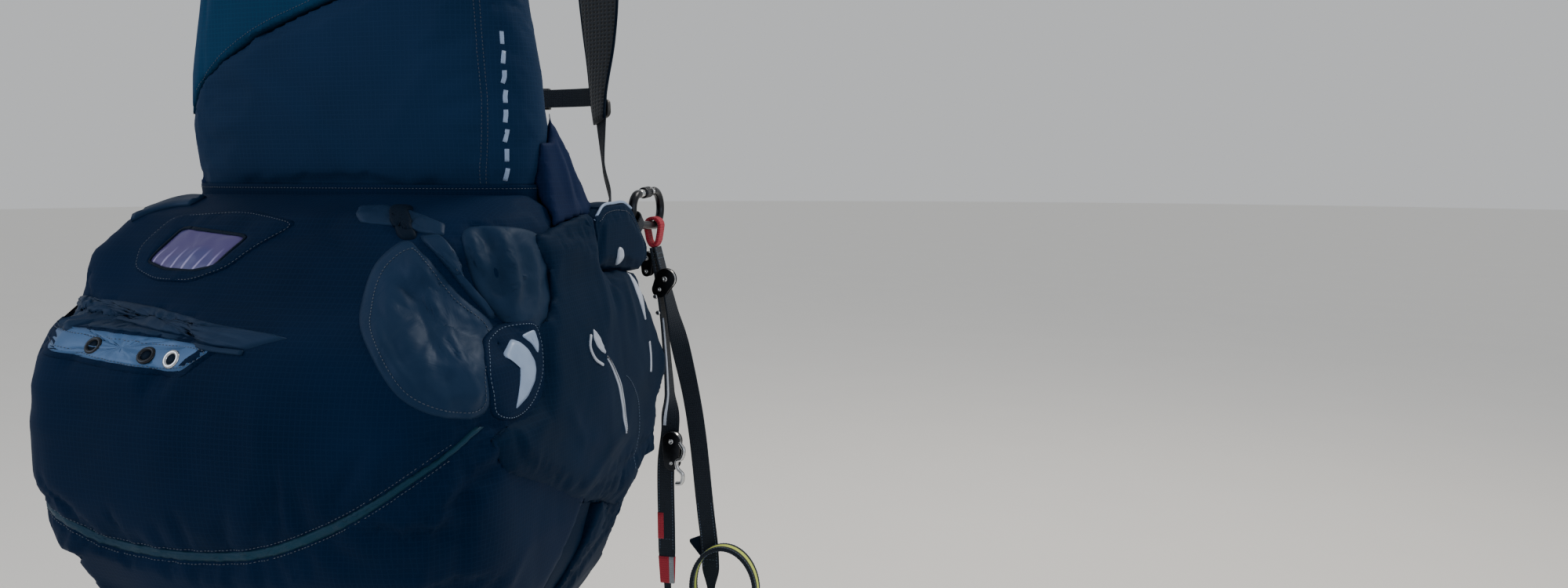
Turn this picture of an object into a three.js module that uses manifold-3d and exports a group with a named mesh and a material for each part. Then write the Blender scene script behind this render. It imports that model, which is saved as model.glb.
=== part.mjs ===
import * as THREE from 'three';
import { mergeVertices } from 'three/addons/utils/BufferGeometryUtils.js';
import Module from 'manifold-3d';

// A paragliding harness with an airbag, in its worn shape, with carabiners and hanging risers.
// Millimetres. +X is the wearer's right, +Y the wearer's front, +Z up.
// The origin is midway between the two carabiners, on the plane of symmetry.

const wasm = await Module();
wasm.setup();

// Driving dimensions
const GAP = 0.3; // between touching pieces
const HANG_X = 212; // from the plane of symmetry to each carabiner
const BACK_Y = -200; // the wearer's back
const PAD_THICK = 34; // of the back pad
const SEAT_THICK = 24; // of the seat pad
const SEAT_HALF = 178; // half width of the seat pad
const WEBBING = 3; // thickness of a strap
const SEW = 0.5; // a sewn-on piece's distance from what it lies on
const SKIN = 3; // height of a sewn-on panel, with its seam

const FABRIC = { roughness: 0.8, metalness: 0 };
const NAVY = new THREE.MeshStandardMaterial({ color: 0x101c2b, ...FABRIC });
const BLACK = new THREE.MeshStandardMaterial({ color: 0x14181c, ...FABRIC });
const TEAL = new THREE.MeshStandardMaterial({ color: 0x14506e, ...FABRIC });
const COATED = new THREE.MeshStandardMaterial({ color: 0x2b3a45, roughness: 0.4, metalness: 0 });
const PALE = new THREE.MeshStandardMaterial({ color: 0x9fb4cc, roughness: 0.5, metalness: 0 });
const RED = new THREE.MeshStandardMaterial({ color: 0xa02838, ...FABRIC });
const LIME = new THREE.MeshStandardMaterial({ color: 0xc8d860, ...FABRIC });
const FILM = new THREE.MeshStandardMaterial({ color: 0xb08cc0, roughness: 0.2, metalness: 0 });
const METAL = new THREE.MeshStandardMaterial({ color: 0x2a2c30, roughness: 0.35, metalness: 0.9 });
const STEEL = new THREE.MeshStandardMaterial({ color: 0xb8b8b8, roughness: 0.3, metalness: 1 });
const PLASTIC = new THREE.MeshStandardMaterial({ color: 0x16181a, roughness: 0.5, metalness: 0 });

const V = (x, y, z) => new THREE.Vector3(x, y, z);
const rad = THREE.MathUtils.degToRad;

// Closed bodies

// A closed body from points and triangles, turned so that its faces point out.
function body(points, triangles) {
  const geometry = new THREE.BufferGeometry().setFromPoints(points);
  geometry.setIndex(triangles.flat());
  const merged = mergeVertices(geometry, 1e-4);
  const at = merged.attributes.position;
  const corner = (i) => V().fromBufferAttribute(at, i);
  const faces = [];
  let volume = 0;
  for (let i = 0; i < merged.index.count; i += 3) {
    const [a, b, c] = [0, 1, 2].map((k) => merged.index.getX(i + k));
    if (a === b || b === c || a === c) continue;
    faces.push([a, b, c]);
    volume += corner(a).dot(corner(b).cross(corner(c)));
  }
  if (volume < 0) faces.forEach((f) => f.reverse());
  merged.setIndex(faces.flat());
  return merged;
}

// A body through rings of equal length; closed joins the last ring to the first.
function loft(rings, closed = false) {
  const n = rings[0].length;
  const points = rings.flat();
  const triangles = [];
  const spans = closed ? rings.length : rings.length - 1;
  for (let i = 0; i < spans; i++) {
    const low = i * n;
    const high = ((i + 1) % rings.length) * n;
    for (let j = 0; j < n; j++) {
      const k = (j + 1) % n;
      triangles.push([low + j, low + k, high + k], [low + j, high + k, high + j]);
    }
  }
  if (!closed) {
    for (const [first, turn] of [[0, 1], [(rings.length - 1) * n, 0]]) {
      const centre = points.length;
      const ring = points.slice(first, first + n);
      points.push(ring.reduce((sum, p) => sum.add(p), V(0, 0, 0)).divideScalar(n));
      for (let j = 0; j < n; j++) {
        const [a, b] = [first + j, first + ((j + 1) % n)];
        triangles.push(turn ? [centre, b, a] : [centre, a, b]);
      }
    }
  }
  return body(points, triangles);
}

const toSolid = (geometry) => {
  const plain = new THREE.BufferGeometry();
  plain.setAttribute('position', geometry.attributes.position.clone());
  if (geometry.index) plain.setIndex(geometry.index.clone());
  const merged = mergeVertices(plain, 1e-4);
  return new wasm.Manifold(new wasm.Mesh({
    numProp: 3,
    vertProperties: new Float32Array(merged.attributes.position.array),
    triVerts: new Uint32Array(merged.index.array),
  }));
};

const toGeometry = (solid) => {
  const mesh = solid.getMesh();
  const geometry = new THREE.BufferGeometry();
  geometry.setAttribute('position', new THREE.BufferAttribute(new Float32Array(mesh.vertProperties), 3));
  geometry.setIndex([...mesh.triVerts]);
  return geometry;
};

const join = (...parts) => toGeometry(parts.map(toSolid).reduce((a, b) => a.add(b)));
const cut = (whole, ...tools) => toGeometry(tools.map(toSolid).reduce((a, b) => a.subtract(b), toSolid(whole)));
const common = (a, b) => toGeometry(toSolid(a).intersect(toSolid(b)));

// A smooth line through a few points, as n + 1 points.
const smooth = (points, n) => new THREE.CatmullRomCurve3(points, false, 'centripetal').getPoints(n);

// Along a strap's stops, each with the direction of its width: its place, run, width and face directions.
function strapFrames(stops, steps) {
  const path = smooth(stops.map((s) => V(...s.at)), steps);
  const sides = smooth(stops.map((s) => V(...s.across).normalize().multiplyScalar(100)), steps);
  return path.map((at, i) => {
    const run = path[Math.min(i + 1, steps)].clone().sub(path[Math.max(i - 1, 0)]).normalize();
    const across = sides[i].clone().addScaledVector(run, -sides[i].dot(run)).normalize();
    return { at, run, across, face: run.clone().cross(across) };
  });
}

// A flat band along a strap's stops; width is a number, or a function of the share of its length.
function strap(stops, width, thick, steps = 14) {
  const wide = typeof width === 'function' ? width : () => width;
  return loft(strapFrames(stops, steps).map(({ at, across, face }, i) => (
    [[1, 1], [1, -1], [-1, -1], [-1, 1]].map(([a, b]) => (
      at.clone().addScaledVector(across, (a * wide(i / steps)) / 2).addScaledVector(face, (b * thick) / 2)
    ))
  )));
}

// A block lying on a strap's face, at a share of its length.
function onStrap(stops, share, [long, wide, high], lift) {
  const steps = 40;
  const { at, run, across, face } = strapFrames(stops, steps)[Math.round(share * steps)];
  const block = new THREE.BoxGeometry(long, wide, high);
  block.deleteAttribute('uv');
  block.deleteAttribute('normal');
  block.applyMatrix4(new THREE.Matrix4().makeBasis(run, across, face));
  const off = at.clone().addScaledVector(face, lift);
  return mergeVertices(block.translate(off.x, off.y, off.z));
}

// A round bar along a path that lies in a plane with the given normal; closed makes it a link.
function bar(path, radius, normal, sides = 8, closed = false) {
  const n = path.length;
  return loft(path.map((p, i) => {
    const before = path[closed ? (i + n - 1) % n : Math.max(i - 1, 0)];
    const after = path[closed ? (i + 1) % n : Math.min(i + 1, n - 1)];
    const out = after.clone().sub(before).normalize().cross(normal);
    return [...Array(sides).keys()].map((k) => {
      const a = (2 * Math.PI * (k + 0.5)) / sides;
      return p.clone().addScaledVector(normal, radius * Math.cos(a)).addScaledVector(out, radius * Math.sin(a));
    });
  }), closed);
}

// An arc in the [u, v] plane, from one angle to another in degrees.
const arc = (u, v, radius, from, to, steps) => [...Array(steps + 1).keys()].map((i) => {
  const a = rad(from + ((to - from) * i) / steps);
  return [u + radius * Math.cos(a), v + radius * Math.sin(a)];
});

// An outline of [u, z] points pushed outwards along a level direction: azimuth 0 faces the rear (-Y),
// 90 the wearer's right (+X). u runs to the right of that direction, as seen from outside.
function prism(outline, azimuth, from, to, hole = null) {
  const points = (line) => {
    const list = line.map(([u, z]) => new THREE.Vector2(u, z));
    return THREE.ShapeUtils.isClockWise(list) ? list.reverse() : list;
  };
  const shape = new THREE.Shape(points(outline));
  if (hole) shape.holes.push(new THREE.Path(points(hole)));
  const solid = new THREE.ExtrudeGeometry(shape, { depth: to - from, bevelEnabled: false, steps: 1 });
  solid.deleteAttribute('uv');
  solid.deleteAttribute('normal');
  const a = rad(azimuth);
  const out = V(Math.sin(a), -Math.cos(a), 0);
  solid.applyMatrix4(new THREE.Matrix4().makeBasis(V(Math.cos(a), Math.sin(a), 0), V(0, 0, 1), out));
  return mergeVertices(solid.translate(out.x * from, out.y * from, 0), 1e-4);
}

// A closed smooth outline through a few [u, z] points.
const rounded = (points, n) => new THREE.CatmullRomCurve3(points.map(([u, z]) => V(u, z, 0)), true, 'centripetal')
  .getPoints(n).slice(0, -1).map((p) => [p.x, p.y]);

// An outline scaled about its middle so that it grows by the distance given.
function swell(outline, by) {
  const [us, zs] = [outline.map(([u]) => u), outline.map(([, z]) => z)];
  const middle = [us, zs].map((v) => (Math.min(...v) + Math.max(...v)) / 2);
  const half = [us, zs].map((v) => (Math.max(...v) - Math.min(...v)) / 2);
  return outline.map((p) => p.map((v, i) => middle[i] + (v - middle[i]) * (1 + by / half[i])));
}

// The outer form of the airbag and of the container above it

// Level by height: half width, rear face at its corners, corner radius, and the front face behind the seat.
const FORM = [
  { z: -498, half: 150, rear: 372, corner: 44, front: 304 },
  { z: -475, half: 180, rear: 412, corner: 64, front: 318 },
  { z: -430, half: 212, rear: 470, corner: 84, front: 310 },
  { z: -380, half: 234, rear: 518, corner: 92, front: 296 },
  { z: -325, half: 246, rear: 550, corner: 95, front: 272 },
  { z: -265, half: 252, rear: 562, corner: 95, front: 256 },
  { z: -200, half: 252, rear: 562, corner: 95, front: 256 },
  { z: -145, half: 247, rear: 552, corner: 92, front: 262 },
  { z: -115, half: 243, rear: 543, corner: 90, front: 262 },
  { z: -104, half: 240, rear: 536, corner: 88, front: 262 },
];
// The container stands out further at its left rear corner, by its bulge.
const CONTAINER = [
  { z: -103.7, half: 228, rear: 512, corner: 78, front: 235, bulge: 2 },
  { z: -75, half: 228, rear: 485, corner: 72, front: 235, bulge: 9 },
  { z: -40, half: 226, rear: 455, corner: 65, front: 235, bulge: 15 },
  { z: -5, half: 223, rear: 412, corner: 60, front: 235, bulge: 9 },
  { z: 14, half: 208, rear: 362, corner: 55, front: 235, bulge: 0 },
];
// The walls that the sewn-on pieces lie on: airbag and container, and on above them beside the shell.
const WALLS = [
  ...FORM,
  ...CONTAINER.slice(1, -1).map((level) => ({ ...level, half: level.half + 3 })),
  { ...CONTAINER.at(-1), half: 221 },
  { z: 50, half: 215, rear: 362, corner: 55, front: 235 },
  { z: 140, half: 202, rear: 362, corner: 55, front: 235 },
];
const WALL_FRONT = 40; // the walls reach this far in front of the wearer's side
const WALL_KNEE = -255; // in front of this the walls run inwards
const WALL_TAPER = 27; // by this much, at their front
const NEAR = 200; // the sewn-on pieces lie between these distances from the origin, along their azimuths
const FAR = 700;
const REAR_BOW = 12; // how far the rear face stands out at its middle
const FRONT_ROUND = 22; // radius of the corners beside the seat

// One level's closed ring, grown outwards by grow, with its front face at the y given.
function levelRing(level, grow, front, taper) {
  const half = level.half + grow;
  const corner = level.corner + grow;
  const rear = level.rear + grow;
  const right = [];
  for (let i = 0; i <= 3; i++) {
    const a = rad(90 - 30 * i);
    right.push([half - taper - FRONT_ROUND * (1 - Math.cos(a)), front - FRONT_ROUND * (1 - Math.sin(a))]);
  }
  right.push([half, taper ? WALL_KNEE : (front - FRONT_ROUND - rear + corner) / 2]);
  for (let i = 0; i <= 7; i++) {
    const a = rad((90 * i) / 7);
    right.push([half - corner * (1 - Math.cos(a)), -rear + corner * (1 - Math.sin(a))]);
  }
  for (const share of [0.6, 0.25]) {
    right.push([(half - corner) * share, -rear - REAR_BOW * (1 - share * share)]);
  }
  const left = right.map(([x, y], i) => {
    const out = level.bulge && i > 4 && i < 13 ? level.bulge * Math.sin((Math.PI * (i - 5)) / 7) ** 2 : 0;
    return [-x - out, y - out];
  }).reverse();
  return [...right, ...left].map(([x, y]) => V(x, y, level.z));
}

const form = (levels, grow = 0) => loft(levels.map((level) => levelRing(level, grow, -level.front, 0)));
const walls = (grow) => loft(WALLS.map((level) => levelRing(level, grow, WALL_FRONT, WALL_TAPER)));

// A piece sewn on the walls, inside an outline, of the height given.
const applique = (outline, azimuth, high, hole = null) => (
  common(cut(walls(high), walls(SEW)), prism(outline, azimuth, NEAR, FAR, hole))
);
const through = (outline, azimuth) => prism(swell(outline, GAP), azimuth, NEAR, FAR);

// Pieces are collected here, each as one mesh
const harness = new THREE.Group();
function add(name, geometry, material, parent = harness) {
  geometry.computeVertexNormals();
  const mesh = new THREE.Mesh(geometry, material);
  mesh.name = name;
  parent.add(mesh);
  return mesh;
}

// Both sides: the same shape, mirrored for the wearer's left.
function addPair(name, geometry, material) {
  add(`${name}_right`, geometry, material);
  add(`${name}_left`, geometry.clone(), material).scale.x = -1;
}

// Back: shell, yoke, pad and grab handle

// Level by height: half width, half thickness and the middle's distance behind the wearer's side.
const SHELL = [
  { z: 15, half: 200, thick: 58, middle: 294 },
  { z: 45, half: 209, thick: 60, middle: 296 },
  { z: 90, half: 213, thick: 61, middle: 297 },
  { z: 150, half: 208, thick: 61, middle: 297 },
  { z: 235, half: 193, thick: 60, middle: 296 },
  { z: 320, half: 186, thick: 56, middle: 292 },
  { z: 395, half: 170, thick: 47, middle: 283 },
  { z: 440, half: 146, thick: 34, middle: 270 },
  { z: 458, half: 116, thick: 18, middle: 256 },
];
const SHELL_SIDES = 36;
const SHELL_POWER = 3.2; // 2 is an ellipse, more is nearer a box

const shellForm = (grow = 0) => loft(SHELL.map((level) => [...Array(SHELL_SIDES).keys()].map((i) => {
  const a = (2 * Math.PI * i) / SHELL_SIDES;
  const [c, s] = [Math.cos(a), Math.sin(a)];
  const round = (v) => Math.sign(v) * Math.abs(v) ** (2 / SHELL_POWER);
  return V((level.half + grow) * round(c), -level.middle + (level.thick + grow) * round(s), level.z);
})));

// The yoke's lower edge, from the wearer's left up to the right, as [x, z]
const YOKE_EDGE = [[-260, 40], [-205, 104], [-176, 138], [-140, 161], [-92, 187], [-38, 207], [60, 240], [260, 300]];
const yokeSide = (shift) => prism([...YOKE_EDGE.map(([x, z]) => [x, z + shift]), [260, 500], [-260, 500]], 0, 150, 450);
add('back_shell', cut(shellForm(), yokeSide(0)), NAVY);
add('yoke_panel', common(shellForm(), yokeSide(GAP)), TEAL);

const PAD = [
  { z: -62, half: 150, front: 206 },
  { z: -20, half: 152, front: 200 },
  { z: 120, half: 150, front: 200 },
  { z: 300, half: 140, front: 200 },
  { z: 400, half: 120, front: 203 },
  { z: 436, half: 96, front: 212 },
];
// Half a pad's ring is its rounded front corner; the rear is flat.
const padRing = ({ z, half, front }, rear, round = 10) => [
  V(half, -rear, z), V(half, -front - round, z), V(half - round, -front, z),
  V(-half + round, -front, z), V(-half, -front - round, z), V(-half, -rear, z),
];
const backPad = (grow) => loft(PAD.map(({ z, half, front }) => (
  padRing({ z: z + Math.sign(z) * grow, half: half + grow, front: front - grow }, PAD_THICK - BACK_Y + grow)
)));
add('back_pad', backPad(0), BLACK);

const seatPad = (grow) => loft(FORM.map(({ z, half, front }) => padRing(
  { z, half: Math.min(SEAT_HALF, half - 8) + grow, front: front - SEAT_THICK - grow }, front - GAP,
)));
add('seat_pad', seatPad(0), BLACK);

const HANDLE = { half: 55, z: 452, rise: 26, width: 22, thick: 5 };
const handleStops = [[-1, -34, 0], [-1, 0, 0], [0, 0, 1], [1, 0, 0], [1, -34, 0]].map(([side, drop, top]) => (
  { at: [side * HANDLE.half, -218, HANDLE.z + drop + top * HANDLE.rise], across: [0, 1, 0] }
));
add('grab_handle', cut(strap(handleStops, HANDLE.width, HANDLE.thick, 20), backPad(GAP), shellForm(GAP)), BLACK);

// Airbag, container and what is sewn on their rear
add('airbag', form(FORM), NAVY);
add('upper_container', form(CONTAINER), NAVY);

// The scoop's outline on the right rear corner, seen at azimuth 45
const PETAL = [[-213, -24], [-242, -42], [-262, -77], [-269, -102], [-250, -153], [-212, -175], [-174, -178],
  [-179, -147], [-148, -108], [-179, -72], [-205, -35]];
const petal = rounded(PETAL, 44);
const WINDOW = [[-122, -16], [-31, -23], [-49, -51], [-74, -56], [-111, -55], [-138, -49]];
const FLAP_EDGE = 12; // width of the flap round its window
const flap = swell(WINDOW, FLAP_EDGE);
add('lid_flap', applique(flap, 0, SKIN, swell(WINDOW, GAP)), BLACK);
add('lid_window', applique(WINDOW, 0, SKIN - 1), FILM);

const EYELET_STRIP = [[-208, -106], [10, -119], [-23, -139], [-184, -124]];
add('eyelet_strip', applique(EYELET_STRIP, 0, SKIN), PALE);

// The piping's middle line across the rear, as [x, z]
const PIPING = [[-243, -262], [-215, -284], [-180, -296], [-130, -310], [-70, -314], [-6, -313], [55, -304],
  [114, -282], [162, -257], [203, -229], [229, -208], [243, -190]];
const pipingEdge = (side) => PIPING.map(([x, z], i) => [x, z + side * Math.min(4.5, 2 + 0.9 * (PIPING.length - 1 - i))]);
add('airbag_piping', applique([...pipingEdge(1), ...pipingEdge(-1).reverse()], 0, SKIN), COATED);

const JUNCTION = [[40, 11], [152, 11], [190, -14], [150, -18], [84, -14]];
add('junction_strap', applique(JUNCTION, 0, SKIN + 1), COATED);

// Sides: scoop, pouch, patch and hip panel

add('scoop_petal', applique(petal, 45, SKIN), COATED);

const POUCH = [[-165, -16], [-126, -13], [-87, -32], [-76, -73], [-88, -106], [-124, -111], [-137, -103],
  [-160, -73], [-167, -41]];
const POUCH_HIGH = 14;
const pouch = rounded(POUCH, 36);
add('scoop_pouch', cut(applique(pouch, 45, POUCH_HIGH), through(petal, 45)), NAVY);

const PATCH = { y: -431, z: -148, radius: 42 };
const patch = arc(PATCH.y, PATCH.z, PATCH.radius, 0, 350, 35);
add('side_patch', cut(applique(patch, 90, SKIN), through(petal, 45), through(pouch, 45)), PALE);

// The padded cover that the hang loop comes out of, as [y, z]; its front face looks up and forwards.
const COVER = { inner: 195, outer: 236 };
const COVER_SIDE = [[-215, -12], [-195, 1], [-131, 3], [-106, -6], [-60, -52], [-62, -72], [-84, -84], [-215, -70]];
const coverForm = (grow) => prism(swell(COVER_SIDE, grow), 90, COVER.inner - grow, COVER.outer + grow);
addPair('loop_cover', coverForm(0), NAVY);

const PANEL_HIGH = 10; // of the hip panel outside the walls
const PANEL_DEEP = 30; // and inside them, in front of the airbag
const PANEL = [[-352, -24], [-238, -7], [-84, -36], [-93, -73], [-67, -126], [-34, -166], [-6, -203], [-5, -225],
  [-31, -239], [-62, -258], [-55, -297], [-47, -322], [-93, -322], [-127, -348], [-159, -359], [-184, -352],
  [-316, -312], [-465, -242], [-490, -202], [-447, -189], [-420, -120], [-385, -60]];
const panelForm = (grow) => common(
  cut(walls(PANEL_HIGH + grow), walls(-PANEL_DEEP - grow)), prism(swell(PANEL, grow), 90, 60, FAR),
);
const hipPanel = cut(
  panelForm(0),
  form(WALLS.map((level) => ({ ...level, front: CONTAINER[0].front - SEW })), SEW), coverForm(GAP),
);
add('hip_panel_right', cut(hipPanel, through(petal, 45), through(pouch, 45), through(patch, 90)), NAVY);
add('hip_panel_left', hipPanel, NAVY).scale.x = -1;

// Below the hip panel the side goes on down beside the thigh.
const THIGH = [[-112, -340], [-140, -375], [-157, -402], [-150, -440], [-128, -478], [-140, -490], [-285, -490],
  [-300, -430], [-262, -380], [-225, -330]];
addPair('thigh_panel', cut(
  common(cut(walls(0), walls(-20)), prism(THIGH, 90, 60, FAR)),
  form(FORM, SEW), seatPad(GAP), prism(swell(PANEL, 1), 90, 60, FAR),
), NAVY);

const WING_DEEP = 12; // thickness of the wing between hip and shell
const WING = [[-300, -15], [-238, -6], [-180, -14], [-190, -5], [-205, 15], [-232, 48], [-258, 90], [-286, 137],
  [-300, 137]];
addPair('side_wing', cut(
  common(cut(walls(1), walls(-WING_DEEP)), prism(WING, 90, 60, FAR)),
  shellForm(SEW), form(CONTAINER, SEW), coverForm(GAP),
), NAVY);

// Carabiner, in the YZ plane: its two baskets hold the hang loop (rear) and the riser (front).
const BAR = 5.5; // radius of the carabiner's bar
const REAR_BASKET = { y: -32, z: -10, radius: 20 };
const FRONT_BASKET = { y: 22, z: -10, radius: 23 };
const PIN = { y: 12, z: 12.5 }; // the gate's hinge
const carabinerLine = [
  ...arc(REAR_BASKET.y, REAR_BASKET.z, REAR_BASKET.radius, 88, 270, 10),
  ...arc(FRONT_BASKET.y, FRONT_BASKET.z, FRONT_BASKET.radius, 270, 460, 11),
].map(([y, z]) => V(HANG_X, y, z));
addPair('carabiner', bar(carabinerLine, BAR, V(1, 0, 0)), METAL);

// The gate is turned round its length: [radius, distance from the pin towards the nose].
const GATE_LENGTH = 37;
const GATE_RADIUS = 5.2;
const SLEEVE_RADIUS = 7.5;
const gateProfile = [
  ...arc(0, 0, GATE_RADIUS, -90, 0, 3), [GATE_RADIUS, 8], [SLEEVE_RADIUS, 8.5], [SLEEVE_RADIUS, 28],
  [GATE_RADIUS, 28.5], ...arc(0, GATE_LENGTH, GATE_RADIUS, 0, 90, 3),
].map(([r, along]) => new THREE.Vector2(Math.max(r, 0), along));
const gate = new THREE.LatheGeometry(gateProfile, 10);
gate.deleteAttribute('uv');
gate.deleteAttribute('normal');
const GATE_LEAN = 3; // degrees below level, towards the nose
gate.rotateX(rad(180 + GATE_LEAN)).translate(HANG_X, PIN.y, PIN.z);
addPair('carabiner_gate', body(
  [...Array(gate.attributes.position.count).keys()].map((i) => V().fromBufferAttribute(gate.attributes.position, i)),
  [[...gate.index.array]],
), STEEL);

// A closed loop of webbing that hangs in a basket at local (0, 0, 0), downwards, its band width along Y.
const LOOP = { half: 8.5, width: 16, play: 1.2 };
function webbingLoop(basketRadius, length) {
  const top = BAR + LOOP.play - Math.sqrt(basketRadius ** 2 - (LOOP.width / 2) ** 2) - LOOP.half;
  const outline = (grow) => [
    ...arc(0, top, LOOP.half + grow, 0, 180, 8),
    ...arc(0, -length + LOOP.half, LOOP.half + grow, 180, 360, 8),
  ];
  return prism(outline(WEBBING), 0, -LOOP.width / 2, LOOP.width / 2, outline(0));
}
const HANG_LENGTH = 62; // from the basket's centre to the far end of the hole
const RISER_LOOP_LENGTH = 49;
addPair('hang_loop', cut(
  webbingLoop(REAR_BASKET.radius, HANG_LENGTH).rotateX(rad(-45)).translate(HANG_X, REAR_BASKET.y, REAR_BASKET.z),
  coverForm(GAP),
), BLACK);

// Straps of the wearer's front
const SHOULDER = [
  { at: [88, -232, 452], across: [1, 0, 0] },
  { at: [93, -170, 492], across: [1, 0, 0] },
  { at: [103, -80, 508], across: [1, 0, 0] },
  { at: [108, 5, 474], across: [1, 0, 0] },
  { at: [112, 52, 392], across: [1, 0, 0.1] },
  { at: [118, 62, 300], across: [1, 0, 0.1] },
  { at: [124, 52, 210], across: [1, -0.1, 0.1] },
  { at: [128, 36, 130], across: [1, -0.4, 0.2] },
  { at: [150, 0, 45], across: [0.6, -0.8, -0.4] },
  { at: [180, -48, 3], across: [0.2, -0.5, -0.9] },
  { at: [192, -92, -22], across: [0, -0.4, -0.9] },
];
const shoulderWidth = (t) => 58 - 36 * THREE.MathUtils.smoothstep(t, 0.5, 0.74);
const shoulder = (grow) => strap(SHOULDER, (t) => shoulderWidth(t) + 2 * grow, 2 * WEBBING + 2 * grow, 30);
addPair('shoulder_strap', cut(shoulder(0), backPad(GAP), shellForm(GAP), coverForm(GAP)), BLACK);

const CHEST = { z: 140, half: 126, front: 80, bow: 34 };
const chest = [-1, -0.6, 0, 0.6, 1].map((s) => (
  { at: [s * CHEST.half, CHEST.front - CHEST.bow * s * s, CHEST.z], across: [0, 0, 1] }
));
const mirrored = (geometry) => body(
  [...Array(geometry.attributes.position.count).keys()].map((i) => (
    V().fromBufferAttribute(geometry.attributes.position, i).multiply(V(-1, 1, 1))
  )),
  [[...geometry.index.array]],
);
add('chest_strap', cut(strap(chest, 25, WEBBING, 16), shoulder(GAP), mirrored(shoulder(GAP))), BLACK);
add('chest_buckle', onStrap(chest, 0.5, [62, 34, 10], -(5 + WEBBING / 2 + GAP)), PLASTIC);

const LEG = [
  { at: [190.2, -112, -92], across: [0, 1, 0.2] },
  { at: [176, -10, -125], across: [0.2, 0.8, 0.9] },
  { at: [125, 62, -175], across: [0.9, -0.3, 0.4] },
  { at: [75, 32, -270], across: [0.9, -0.5, 0] },
  { at: [48, -60, -350], across: [1, -0.2, 0] },
  { at: [42, -160, -400], across: [1, 0, 0] },
  { at: [42, -282.4, -420], across: [1, 0, 0] },
];
const LEG_WIDTH = 40;
const legStrap = (grow) => strap(LEG, LEG_WIDTH + 2 * grow, WEBBING + 2 * grow, 24);
addPair('leg_strap', cut(legStrap(0), coverForm(GAP), panelForm(GAP)), BLACK);
addPair('leg_buckle', cut(onStrap(LEG, 0.36, [38, 50, 12], 6), legStrap(GAP)), PLASTIC);

// Risers, each hanging from its carabiner's front basket

const RISER_Y = FRONT_BASKET.y;
const RISER_WIDTH = 25;
const RISER_END = -545;
const EYE = { outer: 5.5, hole: 3.4, width: 10 }; // at a riser's end
addPair('riser_loop', webbingLoop(FRONT_BASKET.radius, RISER_LOOP_LENGTH)
  .translate(HANG_X, FRONT_BASKET.y, FRONT_BASKET.z), RED);
const RISER_TOP = FRONT_BASKET.z - RISER_LOOP_LENGTH - WEBBING - 2 * GAP;

// Height, place to the side, and how far the band has turned from edge-on (0) to facing the rear (1)
const FRONT_RISER = [
  { z: RISER_TOP, x: 210.5, turn: 0 },
  { z: -95, x: 216, turn: 0 },
  { z: -150, x: 223, turn: 0 },
  { z: -206, x: 227, turn: 0 },
  { z: -262, x: 230, turn: 0.1 },
  { z: -310, x: 230, turn: 0.9 },
  { z: -360, x: 223, turn: 1 },
  { z: -450, x: 222, turn: 1 },
  { z: RISER_END, x: 222, turn: 1 },
];
const REAR_RISER = [
  { z: RISER_TOP + 0.7, x: 216, turn: 0 },
  { z: -95, x: 224, turn: 0 },
  { z: -150, x: 236, turn: 0.2 },
  { z: -206, x: 249, turn: 0.8 },
  { z: -262, x: 261, turn: 1 },
  { z: -315, x: 269, turn: 1 },
  { z: -420, x: 279, turn: 1 },
  { z: -480, x: 285, turn: 1 },
  { z: RISER_END, x: 286, turn: 1 },
];
const RISER_LEAN = 8; // how far a riser's end is in front of its top
const riserStops = (table) => table.map(({ z, x, turn }) => ({
  at: [x, RISER_Y + (RISER_LEAN * (RISER_TOP - z)) / (RISER_TOP - RISER_END), z],
  across: [Math.sin((turn * Math.PI) / 2), Math.cos((turn * Math.PI) / 2), 0],
}));
const riserWidth = (t) => RISER_WIDTH - (RISER_WIDTH - EYE.width) * THREE.MathUtils.smoothstep(t, 0.92, 0.99);
function riser(table) {
  const end = table.at(-1);
  const ring = (radius) => arc(0, 0, radius, 0, 330, 11);
  const eye = prism(ring(EYE.outer), 90, -EYE.width / 2, EYE.width / 2, ring(EYE.hole));
  eye.translate(end.x, RISER_Y + RISER_LEAN, end.z - EYE.outer + 1);
  return join(strap(riserStops(table), riserWidth, WEBBING, 40), eye);
}
addPair('riser_front', riser(FRONT_RISER), BLACK);
addPair('riser_rear', riser(REAR_RISER), BLACK);

// A link through each riser's eye, where lines are tied on
const LINK = { bar: 2.4, half: 9.5, corner: 4, length: 36 };
function link(table) {
  const end = table.at(-1);
  const shoulder = LINK.half - LINK.corner;
  const line = [
    ...arc(shoulder, -LINK.corner, LINK.corner, 0, 90, 3),
    ...arc(-shoulder, -LINK.corner, LINK.corner, 90, 180, 3),
    ...arc(0, LINK.half - LINK.length, LINK.half, 180, 360, 6),
  ];
  const top = end.z - EYE.outer + 1;
  return bar(line.map(([x, z]) => V(end.x + x, RISER_Y + RISER_LEAN, top + z)), LINK.bar, V(0, 1, 0), 8, true);
}
addPair('link_front', link(FRONT_RISER), STEEL);
addPair('link_rear', link(REAR_RISER), STEEL);

// Pulleys: round cheeks on a short body
function pulley(x, y, z, radius, thick, length) {
  return prism([...arc(0, 0, radius, 0, 180, 8), ...arc(0, -length, radius * 0.8, 180, 360, 8)], 0, -thick / 2, thick / 2)
    .translate(x, y, z);
}
addPair('speed_pulley', pulley(202.2, RISER_Y, -77, 9, 12, 18), PLASTIC);
addPair('brake_pulley', pulley(236, RISER_Y - 4.3, -326, 13, 12, 30), METAL);

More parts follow.
